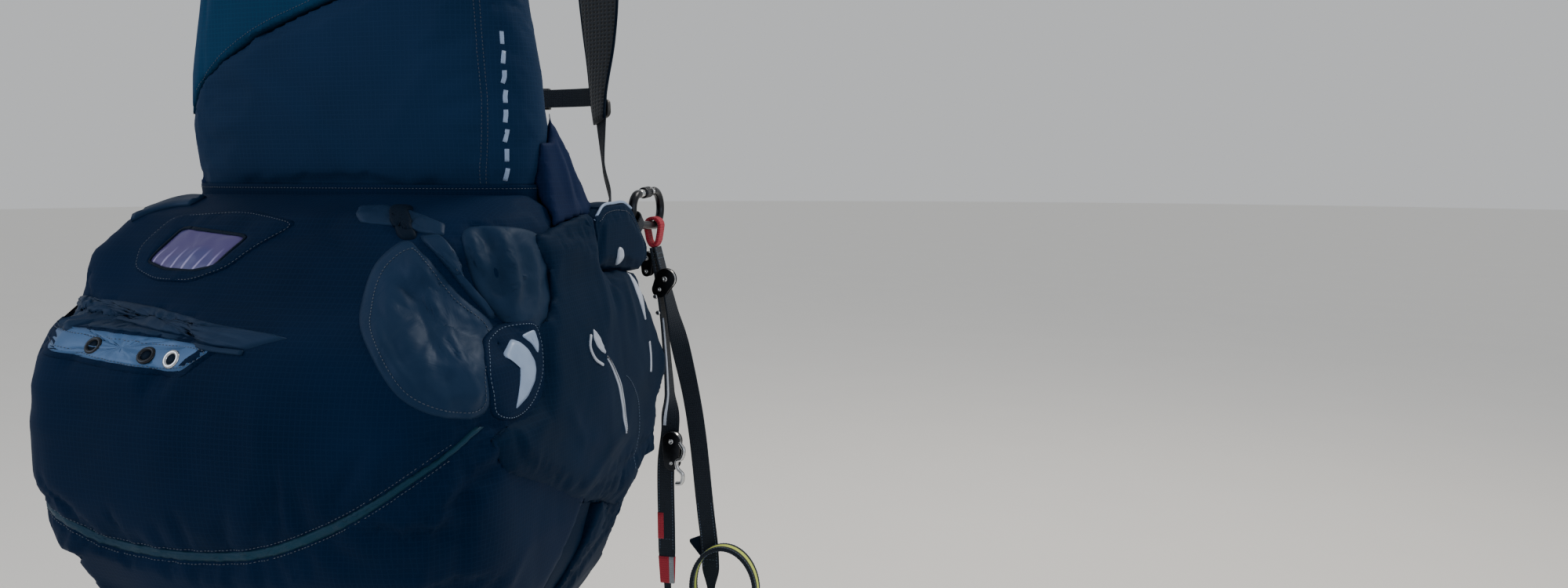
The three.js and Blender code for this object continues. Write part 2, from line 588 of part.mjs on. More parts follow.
// Brake handle: a stiff loop of webbing in front of the rear riser's end
const GRIP = { x: 310, z: -526, half: 48, high: 60, thick: 6, width: 22, y: 15.8 };
const gripLine = (grow) => [...Array(28).keys()].map((i) => {
  const a = (2 * Math.PI * i) / 28;
  return [GRIP.x + (GRIP.half + grow) * Math.cos(a), GRIP.z + (GRIP.high + grow) * Math.sin(a)];
});
addPair('brake_handle', prism(gripLine(0), 0, -GRIP.y - GRIP.width / 2, -GRIP.y + GRIP.width / 2, gripLine(-GRIP.thick)), LIME);

export default harness;
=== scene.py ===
# %% [markdown]
# # Dressing a paragliding harness
# The solids of the harness come in as a fixed frame, in metres: X to the wearer's right, Y to the front,
# Z up. This lesson sews a fabric, a webbing or a metal piece over each of them, and then lights the
# result. We start by loading the frame and keeping its size.

# %% Load the frame
import math

import bmesh
import bpy
import numpy as np
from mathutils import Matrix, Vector, noise
from mathutils.bvhtree import BVHTree


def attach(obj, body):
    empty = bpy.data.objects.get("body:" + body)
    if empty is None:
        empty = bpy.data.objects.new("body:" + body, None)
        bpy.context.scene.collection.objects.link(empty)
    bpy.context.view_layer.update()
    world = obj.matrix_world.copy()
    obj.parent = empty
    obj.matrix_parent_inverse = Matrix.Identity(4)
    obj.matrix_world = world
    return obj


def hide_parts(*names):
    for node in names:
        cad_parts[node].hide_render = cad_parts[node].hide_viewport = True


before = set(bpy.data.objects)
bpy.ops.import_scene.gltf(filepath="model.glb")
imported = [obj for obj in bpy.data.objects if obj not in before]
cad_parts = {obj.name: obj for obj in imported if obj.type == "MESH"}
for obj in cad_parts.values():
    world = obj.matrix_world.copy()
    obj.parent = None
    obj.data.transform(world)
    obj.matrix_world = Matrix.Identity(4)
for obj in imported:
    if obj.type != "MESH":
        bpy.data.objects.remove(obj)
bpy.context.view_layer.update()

# %% [markdown]
# ## The camera
# The picture is taken from behind the wearer, a little to the right, at hip height, with a wide lens.
# A camera that looks slightly down at 83.4 degrees from the vertical gives the same lines.

# %% Camera
scene = bpy.context.scene
eye = bpy.data.cameras.new("camera")
eye.lens = 26
eye.sensor_width = 36
eye.clip_end = 100
camera = bpy.data.objects.new("camera", eye)
camera.location = (0.774, -1.402, 0.05)
camera.rotation_euler = (math.radians(83.4), 0, math.radians(15))
scene.collection.objects.link(camera)
scene.camera = camera

# %% [markdown]
# ## Nodes and colours
# Every finish below is a small node tree. One function adds a node with its settings and its inputs:
# an input that is given a socket is linked to it, and any other value is typed into it.
# Colours are written as on a paint card, in sRGB, and the shader wants them linear. A finish is a small
# class, so that each kind of node that we use again and again has one short name.

# %% Add a node, and read a colour
def put(tree, kind, inputs=None, **settings):
    made = tree.nodes.new(kind)
    for key, value in settings.items():
        setattr(made, key, value)
    for key, value in (inputs or {}).items():
        if isinstance(value, bpy.types.NodeSocket):
            tree.links.new(value, made.inputs[key])
        else:
            made.inputs[key].default_value = value
    return made


def linear(code):
    shares = [int(code[i:i + 2], 16) / 255 for i in (1, 3, 5)]
    return (*[s / 12.92 if s <= 0.04045 else ((s + 0.055) / 1.055) ** 2.4 for s in shares], 1.0)


print("navy in linear numbers:", [round(v, 4) for v in linear("#16263c")])

# %% A finish, with a short name for each kind of node in it
class Finish:
    """Each method adds a node and returns its output; done links the last outputs to the shader."""

    def __init__(self, name, **numbers):
        self.material = bpy.data.materials.new(name)
        self.material.use_nodes = True
        self.tree = self.material.node_tree
        self.shader = self.tree.nodes["Principled BSDF"]
        for key, value in numbers.items():
            plain = linear(value) if isinstance(value, str) else value
            self.shader.inputs[key.replace("_", " ")].default_value = plain

    def place(self):
        return put(self.tree, "ShaderNodeTexCoord").outputs["Object"]

    def cloth(self):
        return put(self.tree, "ShaderNodeUVMap", uv_map="weave").outputs["UV"]

    def woven(self, turn=0.0):
        """The two numbers of the weave's map, turned by an angle in radians."""
        place = self.cloth()
        if turn:
            place = put(self.tree, "ShaderNodeMapping",
                        {"Vector": place, "Rotation": (0, 0, turn)}).outputs[0]
        parted = put(self.tree, "ShaderNodeSeparateXYZ", {"Vector": place})
        return parted.outputs["X"], parted.outputs["Y"]

    def grain(self, scale, detail, kind="FBM", **more):
        inputs = {"Vector": self.place(), "Scale": scale, "Detail": detail, **more}
        return put(self.tree, "ShaderNodeTexNoise", inputs, noise_type=kind).outputs["Fac"]

    def cells(self, place, scale, randomness=1.0, dimensions="3D"):
        inputs = {"Vector": place, "Scale": scale, "Randomness": randomness}
        return put(self.tree, "ShaderNodeTexVoronoi", inputs,
                   voronoi_dimensions=dimensions).outputs["Distance"]

    def calc(self, operation, *values):
        return put(self.tree, "ShaderNodeMath", dict(enumerate(values)), operation=operation).outputs[0]

    def ranged(self, value, low=0.0, high=1.0, to=(0.0, 1.0), kind="LINEAR"):
        inputs = {"Value": value, "From Min": low, "From Max": high, "To Min": to[0], "To Max": to[1]}
        return put(self.tree, "ShaderNodeMapRange", inputs, interpolation_type=kind).outputs[0]

    def mixed(self, share, *colours):
        low, high = [linear(c) if isinstance(c, str) else c for c in colours]
        return put(self.tree, "ShaderNodeMix", {"Factor": share, 6: low, 7: high},
                   data_type="RGBA").outputs[2]

    def bump(self, height, strength, distance, **below):
        inputs = {"Height": height, "Strength": strength, "Distance": distance, **below}
        return put(self.tree, "ShaderNodeBump", inputs).outputs[0]

    def done(self, **outputs):
        for key, output in outputs.items():
            self.tree.links.new(output, self.shader.inputs[key.replace("_", " ")])
        return self.material

# %% [markdown]
# ## Ripstop nylon
# The shell of the harness is ripstop nylon: a thin plain weave with a thicker thread every few
# millimetres, dyed dark navy and calendered. To the eye it is a dark cloth with hardly any gloss and a
# grid so faint that only near light picks it out, and it keeps the creases that it got when it was
# packed. The grid follows the cloth, so it is read from each piece's own "weave" map, in metres. The
# creases are ridged noise on object coordinates, and a cloudy noise lets the tone wander as dust does.

# %% Ripstop nylon
RIPSTOP = 0.005  # between two thick threads
CREASE = 9  # creases for each metre, about one every 110 mm


def ripstop(name, colour, thread, dust, crumple=0.3, rough=0.7, gloss=0.08):
    # The blue sheen and specular tints are a painted reflection: they give the cloth's gloss the blue of an
    # open sky.
    made = Finish(name, Sheen_Weight=0.03, Sheen_Roughness=0.4, Specular_IOR_Level=gloss,
                  Sheen_Tint="#5f83b8", Specular_Tint="#7fa6dc")
    lines = [made.ranged(made.calc("PINGPONG", axis, RIPSTOP / 2), 0.0007, 0.0002, kind="SMOOTHSTEP")
             for axis in made.woven()]
    grid = made.calc("MAXIMUM", *lines)
    cloud = made.grain(6.0, 5.0)
    dusty = made.mixed(made.ranged(cloud, 0.35, 0.75), colour, dust)
    ridges = made.grain(CREASE, 3.0, "RIDGED_MULTIFRACTAL", Roughness=0.5, Distortion=0.5)
    creased = made.bump(ridges, crumple, 0.004)
    return made.done(Base_Color=made.mixed(made.calc("MULTIPLY", grid, 0.25), dusty, thread),
                     Roughness=made.ranged(cloud, to=(rough - 0.12, rough + 0.1)),
                     Normal=made.bump(grid, 0.25, 0.0002, Normal=creased))


navy_ripstop = ripstop("navy ripstop nylon, calendered", "#03162c", "#0f2540", "#081d37")
shell_ripstop = ripstop("dark blue ripstop nylon, calendered", "#0f253e", "#1a3150", "#142b47")
side_ripstop = ripstop("blue-black ripstop nylon, worn soft", "#04172a", "#0e253d", "#0b1f36", crumple=0.25,
                       rough=0.66, gloss=0.06)
wing_ripstop = ripstop("violet-black ripstop nylon, calendered", "#0f1b36", "#1a284a", "#152342", rough=0.65,
                       gloss=0.06)
teal_ripstop = ripstop("teal ripstop nylon, calendered", "#0b2e4a", "#144361", "#0f3855", crumple=0.2)
print("finishes so far:", len(bpy.data.materials))

# %% [markdown]
# ## Coated fabric, reflective tape and film
# The scoop is a heavier polyester with a rubbery coating, so it has no grid, a satin shine and soft
# wrinkles. The tape is glass beads on a grey cloth: pale, and a little metallic in the light. The window
# is a clear film over a violet lining, with pale streaks painted on it as highlights of its ripples.

# %% Coated polyester
def coated(name, colour, streak, rough=0.4, fine=26, shine=0.2):
    # The blue specular and coat tints are a painted reflection: they give the coating's shine the blue of an
    # open sky.
    made = Finish(name, Specular_IOR_Level=shine, Coat_Weight=shine / 8, Coat_Roughness=0.4,
                  Specular_Tint="#86aadc", Coat_Tint="#a9c2e6")
    soft = made.grain(fine, 4.0, Roughness=0.5, Distortion=1.2)
    return made.done(Base_Color=made.mixed(made.grain(9.0, 3.0), colour, streak),
                     Roughness=made.ranged(soft, to=(rough - 0.1, rough + 0.15)),
                     Normal=made.bump(soft, 0.35, 0.004))


grey_coated = coated("grey coated polyester, calendered", "#0d2035", "#1a304a", rough=0.48, shine=0.17)
dark_coated = coated("dark coated polyester, calendered", "#0c2034", "#1a2f48", rough=0.52, shine=0.14)
teal_tape = coated("dark teal coated tape, folded", "#10283a", "#1a3a48", rough=0.5, fine=40)
hem_binding = coated("black binding tape, folded and sewn", "#08131f", "#0e1a28", rough=0.6, fine=60,
                     shine=0.1)

# %% Reflective tape
def reflective(name, colour, shine):
    made = Finish(name, Metallic=0.1, Specular_IOR_Level=0.3)
    rubbed = made.grain(60.0, 6.0)
    beads = made.cells(made.place(), 900.0)
    return made.done(Base_Color=made.mixed(rubbed, colour, shine),
                     Roughness=made.ranged(rubbed, to=(0.3, 0.55)), Normal=made.bump(beads, 0.2, 0.0002))


silver_tape = reflective("reflective tape, glass beads on cloth", "#8f9aad", "#c3cddd")
pale_patch = reflective("pale reflective fabric, laminated", "#7d93b3", "#95aac8")
strip_fabric = reflective("blue-grey reflective fabric, laminated", "#2f547d", "#3a618c")

# %% Window film over its lining
# The film's pale streaks are painted highlights of its ripples; they fade out towards the top.
HIGHLIGHT_STREAK_STEP = 0.013  # between two streaks of the film
HIGHLIGHT_STREAKS_BELOW = (-0.034, -0.048)  # heights between which the streaks come in


def window_finish():
    made = Finish("clear film over a violet lining", Roughness=0.45, Coat_Weight=0.15, Coat_Roughness=0.2,
                  Specular_IOR_Level=0.2)
    across = made.woven(turn=0.5)[0]
    # Painted highlights: pale streaks (#968fbb) along the film's ripples, mixed into the base colour low
    # down.
    highlight_lines = made.ranged(made.calc("PINGPONG", across, HIGHLIGHT_STREAK_STEP / 2), 0.0003, 0.0018, (1.0, 0.0), "SMOOTHSTEP")
    streak = made.calc("MULTIPLY", highlight_lines, made.ranged(made.woven()[1], *HIGHLIGHT_STREAKS_BELOW))
    patchy = made.grain(22.0, 2.0)
    lining = made.mixed(made.ranged(patchy, 0.52, 0.74), "#4b4374", "#3f4578")
    return made.done(Base_Color=made.mixed(streak, lining, "#968fbb"), Normal=made.bump(patchy, 0.2, 0.002))


window_film = window_finish()
print("finishes so far:", len(bpy.data.materials))

# %% [markdown]
# ## Webbing and spacer mesh
# Webbing is woven in long ribs with a herringbone of weft between them; it is read from the "weave" map,
# whose first number runs along the strap and whose second runs across it. Its ribs are 2.6 mm
# apart here, a little coarser than real ones, so that they show. Spacer mesh is a knitted
# honeycomb of small holes over foam.

# %% Woven webbing
RIB = 0.0026  # between two ribs across the strap
WEFT = 0.0032  # between two wefts along it
SLANT = 1.4  # how steeply the weft climbs across a rib


def webbing_finish(name, colour, light, stripe=None, rough=0.7):
    """stripe is its middle and half its width across the strap in metres, and its colour."""
    made = Finish(name, Sheen_Weight=0.06, Sheen_Roughness=0.5, Specular_IOR_Level=0.2, Roughness=rough)
    along, across = made.woven()
    rib = made.calc("PINGPONG", across, RIB / 2)
    weft = made.calc("PINGPONG", made.calc("MULTIPLY_ADD", rib, SLANT, along), WEFT / 2)
    raised = made.calc("ADD", rib, weft)
    surface = made.mixed(made.ranged(raised, high=(RIB + WEFT) / 2), colour, light)
    if stripe:
        middle, half, ink = stripe
        surface = made.mixed(made.calc("COMPARE", across, middle, half), surface, ink)
    return made.done(Base_Color=surface, Normal=made.bump(raised, 0.8, 0.4))


black_webbing = webbing_finish("black polyester webbing, woven", "#0a121c", "#1a2633")
red_webbing = webbing_finish("red polyester webbing, woven", "#861a2a", "#b53345")
handle_webbing = webbing_finish("black webbing with a lime stripe, woven", "#0a121c", "#1a2633",
                                stripe=(0.001, 0.0038, "#c6d65e"))

# %% Spacer mesh
CELL = 0.0055  # between two holes of the mesh


def spacer_mesh():
    made = Finish("black spacer mesh, knitted over foam", Sheen_Weight=0.3, Roughness=0.85)
    hole = made.ranged(made.cells(made.cloth(), 1 / CELL, 0.15, "2D"), 0.2, 0.42, kind="SMOOTHSTEP")
    return made.done(Base_Color=made.mixed(hole, "#06090c", "#1d242c"), Normal=made.bump(hole, 0.7, 0.0012))


black_mesh = spacer_mesh()

# %% [markdown]
# ## Hard finishes
# The carabiners are aluminium, tumbled and anodised dark, which leaves a satin metal with fine rub
# marks. Links and rings are polished stainless steel. Buckles are moulded acetal with a fine matte
# grain. Thread is a thin shiny polyester.

# %% Metals, plastic and thread
def hard(name, colour, worn, metallic, rough, grain, depth, **numbers):
    made = Finish(name, Metallic=metallic, **numbers)
    marks = made.grain(grain, 6.0, Roughness=0.6)
    return made.done(Base_Color=made.mixed(marks, colour, worn), Normal=made.bump(marks, 0.15, depth),
                     Roughness=made.ranged(marks, to=(rough - 0.08, rough + 0.1)))


dark_anodised = hard("dark anodised aluminium, tumbled", "#1a1c20", "#34373c", 0.9, 0.3, 140, 0.0003)
stainless = hard("stainless steel, polished", "#b4b7ba", "#cfd1d3", 1.0, 0.22, 220, 0.0002)
black_acetal = hard("black acetal, injection moulded", "#0e1114", "#191d21", 0.0, 0.45, 420, 0.0002)
blue_thread = hard("grey-blue polyester thread, twisted", "#3b516b", "#54708e", 0.0, 0.5, 900, 0.0002,
                   Sheen_Weight=0.3)
dark_thread = hard("navy polyester thread, twisted", "#1c2c40", "#2b3f57", 0.0, 0.55, 900, 0.0002,
                   Sheen_Weight=0.3)
print("finishes so far:", len(bpy.data.materials))

# %% [markdown]
# ## Floor and light
# A pale floor and a pale sky around it give one plain ground. The real harness stands in the open with
# the sun high behind it, so a soft light stands high beyond it, and two wide ones open up the shaded
# back and its right side a little.

# %% Floor
FLOOR = -1.0


def mesh_from(name, made):
    """A mesh out of a bmesh, which is freed."""
    mesh = bpy.data.meshes.new(name)
    made.to_mesh(mesh)
    made.free()
    return mesh


paint = Finish("pale matt paint, rolled", Roughness=0.9)
round_floor = bmesh.new()
bmesh.ops.create_circle(round_floor, cap_ends=True, radius=30, segments=96)
bmesh.ops.translate(round_floor, verts=round_floor.verts, vec=(0, 0, FLOOR))
floor = bpy.data.objects.new("floor", mesh_from("floor", round_floor))
floor.data.materials.append(paint.done(Base_Color=paint.mixed(paint.grain(3.0, 3.0), "#eceae6", "#f0eeea")))
scene.collection.objects.link(floor)

# %% Lights
world = bpy.data.worlds.new("pale sky")
world.use_nodes = True
sky = world.node_tree.nodes["Background"].inputs
sky["Color"].default_value = linear("#e4e6e8")
sky["Strength"].default_value = 0.75
scene.world = world


def soft_light(name, place, target, size, power, tint):
    lamp = bpy.data.lights.new(name, "AREA")
    lamp.shape = "DISK"
    lamp.size = size
    lamp.energy = power
    lamp.color = linear(tint)[:3]
    held = bpy.data.objects.new(name, lamp)
    held.location = place
    held.rotation_euler = (Vector(target) - Vector(place)).to_track_quat("-Z", "Y").to_euler()
    scene.collection.objects.link(held)


soft_light("sun side", (1.6, 1.4, 2.6), (0, -0.2, 0), 1.2, 75, "#fff4e4")
soft_light("left fill", (-2.4, -2.6, 1.6), (0, -0.4, 0), 2.4, 45, "#e6efff")
soft_light("right fill", (2.6, -1.6, 0.6), (0.2, 0, -0.1), 1.6, 11, "#e8efff")

# %% [markdown]
# ## Soft pieces from the solids
# A sewn bag full of air or foam is not a block: its cloth bulges between the seams and puckers beside
# them. It could be sculpted by hand; here each soft piece starts as a fine even mesh over its solid,
# its seams are pinned, and a little pressure in Blender's cloth solver blows it up. A cap on how far a
# point may move keeps it clear of its neighbours.

# %% Copy a solid into an even mesh
def link_piece(name, mesh, finish):
    piece = bpy.data.objects.new(name, mesh)
    scene.collection.objects.link(piece)
    mesh.materials.clear()
    mesh.materials.append(finish)
    return piece


def baked(piece):
    """The piece's mesh with its modifiers applied; they are removed from the piece."""
    ready = piece.evaluated_get(bpy.context.evaluated_depsgraph_get())
    mesh = bpy.data.meshes.new_from_object(ready)
    piece.modifiers.clear()
    piece.data = mesh
    return mesh


def triples(values, key):
    """The three numbers of each item, as the rows of an array."""
    flat = np.empty(len(values) * 3)
    values.foreach_get(key, flat)
    return flat.reshape(-1, 3)


def points_of(mesh):
    return triples(mesh.vertices, "co")


def normals_of(mesh):
    return triples(mesh.vertex_normals, "vector")


def corners_of(mesh):
    """The point that each face corner stands on."""
    corner = np.empty(len(mesh.loops), int)
    mesh.loops.foreach_get("vertex_index", corner)
    return corner


def move_points(mesh, points):
    mesh.vertices.foreach_set("co", points.ravel())
    mesh.update()


def soft_copy(name, solids, finish, grain=0.005, draw_in=0.001):
    rough = bmesh.new()
    for solid in solids.split():
        rough.from_mesh(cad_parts[solid].data)
    bmesh.ops.remove_doubles(rough, verts=rough.verts, dist=0.00001)
    piece = link_piece(name, mesh_from(name, rough), finish)
    even = piece.modifiers.new("even", "REMESH")
    even.mode = "VOXEL"
    even.voxel_size = grain
    mesh = baked(piece)
    move_points(mesh, points_of(mesh) - draw_in * normals_of(mesh))
    mesh.shade_smooth()
    return piece


# %% Smooth a mesh where it should flow
def relax(piece, weight, rounds):
    """Moves each point towards the middle of its neighbours, by its weight, some rounds over."""
    mesh = piece.data
    points = points_of(mesh)
    edges = np.empty(len(mesh.edges) * 2, int)
    mesh.edges.foreach_get("vertices", edges)
    a, b = edges.reshape(-1, 2).T
    links = np.bincount(a, minlength=len(points)) + np.bincount(b, minlength=len(points))
    for _ in range(rounds):
        total = np.zeros_like(points)
        np.add.at(total, a, points[b])
        np.add.at(total, b, points[a])
        points += 0.6 * weight[:, None] * (total / links[:, None] - points)
    move_points(mesh, points)


# %% Which way is out, and how far a point lies from a line on a side
def side_axes(azimuth):
    a = math.radians(azimuth)
    return np.array([math.cos(a), math.sin(a), 0]), np.array([math.sin(a), -math.cos(a), 0])


def to_side(points, azimuth):
    return np.stack([points @ side_axes(azimuth)[0], points[:, 2]], axis=1)


def line_distance(flat, line):
    """Distance of flat points, and the share along it, to a line of points in mm."""
    line = np.array(line) / 1000
    best = np.full(len(flat), 9.0)
    share = np.zeros(len(flat))
    for i in range(len(line) - 1):
        run = line[i + 1] - line[i]
        along = np.clip(((flat - line[i]) @ run) / (run @ run), 0, 1)
        far = np.linalg.norm(flat - line[i] - along[:, None] * run, axis=1)
        share = np.where(far < best, (i + along) / (len(line) - 1), share)
        best = np.minimum(best, far)
    return best, share


def facing(mesh, azimuth, low=0.15, high=0.5):
    turned = normals_of(mesh) @ side_axes(azimuth)[1]
    return np.clip((turned - low) / (high - low), 0, 1)


# %% Blow a piece up between its seams
def swell(piece, seams, pressure=4.0, cap=0.006, frames=18, slack=0.03, stiff=12, reach=0.004):
    """seams are (azimuth, line) pairs: cloth within reach of them is held still."""
    mesh = piece.data
    start = points_of(mesh)
    held = np.zeros(len(start), bool)
    for azimuth, line in seams:
        far = line_distance(to_side(start, azimuth), line)[0]
        held |= (far < reach) & (facing(mesh, azimuth) > 0)
    pins = piece.vertex_groups.new(name="seams")
    pins.add([int(i) for i in np.nonzero(held)[0]], 1.0, "REPLACE")
    cloth = piece.modifiers.new("cloth", "CLOTH")
    cloth.settings.quality = 4
    cloth.settings.mass = 0.15
    cloth.settings.tension_stiffness = stiff
    cloth.settings.compression_stiffness = stiff
    cloth.settings.shear_stiffness = 4
    cloth.settings.bending_stiffness = 0.2
    cloth.settings.shrink_min = -slack
    cloth.settings.use_pressure = True
    cloth.settings.uniform_pressure_force = pressure
    cloth.settings.effector_weights.gravity = 0
    cloth.settings.vertex_group_mass = "seams"
    for step in range(1, frames + 1):
        scene.frame_set(step)
    mesh = baked(piece)
    piece.vertex_groups.clear()
    moved = points_of(mesh) - start
    far = np.linalg.norm(moved, axis=1, keepdims=True)
    move_points(mesh, start + moved * np.minimum(1, cap / np.maximum(far, 1e-9)))
    mesh.shade_smooth()
    scene.frame_set(1)
    print(piece.name, "swelled by", round(float(np.minimum(far, cap).mean() * 1000), 1), "mm on average")


# %% Press folds and creases into a piece
def lift_of(flat, lines):
    """The height in metres that fold lines give to flat points in metres.

    Each line is (height in mm, width in mm, points): a ridge, or a groove where its height is negative.
    """
    lift = np.zeros(len(flat))
    for height, width, line in lines:
        far, share = line_distance(flat, line)
        ends = np.clip(np.minimum(share, 1 - share) * 5, 0, 1)
        lift += height / 1000 * np.exp(-((far * 1000 / width) ** 1.6)) * (0.25 + 0.75 * ends)
    return lift


def fold(piece, azimuth, lines):
    mesh = piece.data
    points = points_of(mesh)
    lift = lift_of(to_side(points, azimuth), lines) * facing(mesh, azimuth)
    move_points(mesh, points + normals_of(mesh) * lift[:, None])


def sink_edge(piece, azimuth, line, reach, depth):
    """Lowers the outer face towards a line on a side, so that a padded edge runs out thin."""
    mesh = piece.data
    points = points_of(mesh)
    far, share = line_distance(to_side(points, azimuth), line)
    ends = np.clip(np.minimum(share, 1 - share) * 6, 0, 1)
    near = np.clip(1 - far * 1000 / reach, 0, 1) ** 2 * facing(mesh, azimuth, 0.0, 0.3) * ends
    move_points(mesh, points - side_axes(azimuth)[1] * (near * depth / 1000)[:, None])


def crumple(piece, size, height, seed):
    """Soft uneven dents of the size given, in mm."""
    mesh = piece.data
    points = points_of(mesh)
    dent = [noise.noise(p) + 0.5 * abs(noise.noise(p * 2.1))
            for p in map(Vector, points * (1000 / size) + seed)]
    move_points(mesh, points + normals_of(mesh) * (np.array(dent) * height / 1000)[:, None])


# %% Lay the weave's map on a piece
EIGHTH = math.pi / 4


def lay_weave(piece):
    """Each face takes its map from the nearest of eight sides, or from above; the map is in metres."""
    mesh = piece.data
    layer = mesh.uv_layers.get("weave") or mesh.uv_layers.new(name="weave")
    count = np.empty(len(mesh.polygons), int)
    mesh.polygons.foreach_get("loop_total", count)
    normal = triples(mesh.polygons, "normal")
    turn = np.repeat(np.round(np.arctan2(normal[:, 0], -normal[:, 1]) / EIGHTH) * EIGHTH, count)
    level = np.repeat(np.abs(normal[:, 2]) > 0.8, count)
    place = points_of(mesh)[corners_of(mesh)]
    across = np.where(level, place[:, 0], place[:, 0] * np.cos(turn) + place[:, 1] * np.sin(turn))
    up = np.where(level, place[:, 1], place[:, 2])
    layer.data.foreach_set("uv", np.stack([across, up], axis=1).ravel())


# %% Give a piece its place in the harness, and make its mirror image
def belongs(piece, body, *solids, slot=None):
    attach(piece, body)
    if solids:
        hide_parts(*solids)


def mirrored(piece, name):
    flipped = bmesh.new()
    flipped.from_mesh(piece.data)
    for corner in flipped.verts:
        corner.co.x = -corner.co.x
    bmesh.ops.reverse_faces(flipped, faces=flipped.faces)
    mesh = mesh_from(name, flipped)
    twin = bpy.data.objects.new(name, mesh)
    scene.collection.objects.link(twin)
    for finish in piece.data.materials:  # a piece made by nodes has an empty place before its finish
        mesh.materials.append(finish)
    return twin


def both(piece, body="harness", *solids, slot=None):
    """Gives a piece of the wearer's right its place, and its mirror image the place on the left."""
    twin = mirrored(piece, piece.name.replace("_right", "_left"))
    belongs(piece, body, *solids, slot=slot)
    belongs(twin, body.replace("_right", "_left"), *[s.replace("_right", "_left") for s in solids], slot=slot)
    return piece, twin


def joined(name, pieces):
    """One piece out of several with the same finish."""
    whole = bmesh.new()
    finish = pieces[0].data.materials[0]
    for piece in pieces:
        whole.from_mesh(piece.data)
        bpy.data.objects.remove(piece)
    return link_piece(name, mesh_from(name, whole), finish)


# %% [markdown]
# ## Airbag and container
# The airbag fills with air in flight: a big bag with one seam across its rear, under a piping, and a
# gusset at each side. The container above it holds the reserve parachute. On the real harness one cloth
# runs over both on the right, and on the left the container sits back behind a fold. So both solids are
# wrapped in one skin, and the step between them is smoothed away towards the right.

# %% Airbag and container
PIPING = [(-243, -262), (-215, -284), (-180, -296), (-130, -310), (-70, -314), (-6, -313), (55, -304),
          (114, -282), (162, -257), (203, -229), (229, -208), (243, -190)]
CORNER_SEAM = [(-30, -190), (-24, -320), (-20, -480)]
LEDGE = [(-240, -104), (-40, -104)]
bag = soft_copy("rear_cloth", "airbag upper_container", navy_ripstop, grain=0.006, draw_in=0.002)
bag_points = points_of(bag.data)
step_here = np.clip(1 - np.abs(bag_points[:, 2] + 0.104) / 0.05, 0, 1)
to_right = np.clip((bag_points[:, 0] + 0.10) / 0.10, 0, 1)
relax(bag, step_here * to_right, 160)
relax(bag, np.full(len(bag_points), 0.5), 6)
swell(bag, [(0, PIPING), (0, LEDGE), (45, CORNER_SEAM), (-45, CORNER_SEAM)], pressure=4, cap=0.006,
      slack=0.04)
fold(bag, 0, [
    (-3, 6, PIPING),
    (2.5, 12, [(-236, -165), (-150, -160), (-60, -150)]),
    (-2, 10, [(-230, -190), (-150, -186), (-40, -178)]),
    (2, 14, [(60, -150), (70, -210), (40, -270)]),
    (3, 9, [(-200, -330), (-160, -380), (-120, -400)]),
    (-3, 10, [(60, -330), (40, -390), (50, -450)]),
    (3, 12, [(150, -300), (110, -360), (90, -430)]),
    (-2, 8, [(-205, -60), (-150, -66), (-40, -74), (60, -88)]),
    (2.5, 9, [(-30, -12), (60, 2), (130, -26)]),
    (-2, 8, [(-10, -26), (50, -14), (110, -44)]),
])
fold(bag, 45, [
    (4, 8, [(-205, -215), (-232, -300), (-250, -400)]),
    (-4, 8, [(-190, -210), (-200, -300), (-210, -400)]),
])
fold(bag, 90, [
    (4, 9, [(-467, -201), (-530, -238), (-560, -277)]),
    (-4, 8, [(-455, -212), (-515, -252), (-545, -300)]),
    (3, 10, [(-425, -329), (-480, -380), (-470, -450)]),
])
fold(bag, -45, [(6, 34, [(250, -116), (258, -140), (262, -175), (262, -215)])])
crumple(bag, 110, 2.0, 3.1)
lay_weave(bag)
belongs(bag, "harness", "airbag", "upper_container", slot="navy_fabric")
print("airbag and container, faces:", len(bag.data.polygons))

# %% [markdown]
# ## Back shell and yoke
# The back is one taut panel with a seam down each side, and a teal yoke sewn over its top. It is almost
# flat, so it needs little air, and its few folds hang from the shoulders.

# %% Shell and yoke
SIDE_SEAM = [(171, 20), (174, 100), (168, 200), (158, 300), (140, 400)]
SIDE_SEAM_LEFT = [(-x, z) for x, z in SIDE_SEAM]
shell = soft_copy("shell_cloth", "back_shell", shell_ripstop, grain=0.005, draw_in=0.001)
swell(shell, [(0, SIDE_SEAM), (0, SIDE_SEAM_LEFT)], pressure=2.5, cap=0.003, slack=0.01)
fold(shell, 0, [
    (-1.6, 3, SIDE_SEAM),
    (2.0, 14, [(-120, 150), (-60, 120), (20, 40)]),
    (-1.5, 12, [(-90, 160), (-20, 110), (60, 30)]),
    (2.0, 14, [(150, 260), (120, 160), (60, 60)]),
])
crumple(shell, 120, 1.6, 5.7)
lay_weave(shell)
belongs(shell, "harness", "back_shell", slot="navy_fabric")

yoke = soft_copy("yoke_cloth", "yoke_panel", teal_ripstop, grain=0.005, draw_in=0.0005)
fold(yoke, 0, [
    (-1.6, 3, SIDE_SEAM_LEFT),
    (1.6, 12, [(-180, 150), (-150, 230), (-130, 330)]),
    (1.6, 14, [(-60, 220), (-40, 300), (-60, 380)]),
])
crumple(yoke, 120, 1.4, 1.9)
lay_weave(yoke)
belongs(yoke, "harness", "yoke_panel", slot="teal_fabric")
print("shell and yoke faces:", len(shell.data.polygons), len(yoke.data.polygons))

# %% [markdown]
# ## Pads
# Back pad and seat pad are spacer mesh over foam, quilted in channels that let air pass. The channels
# are pinned, so the foam rises between them.

# %% Back and seat pads
channels = [(180, [(-130, z), (130, z)]) for z in (-30, 50, 130, 210, 290, 360)]
channels += [(180, [(x, -55), (x, 425)]) for x in (-48, 48)]
back_pad = soft_copy("back_pad_mesh", "back_pad", black_mesh, grain=0.005, draw_in=0.003)
swell(back_pad, channels, pressure=5, cap=0.005, slack=0.05, reach=0.005)
fold(back_pad, 180, [(-4, 5, line) for _, line in channels])
lay_weave(back_pad)
belongs(back_pad, "harness", "back_pad", slot="black_mesh")

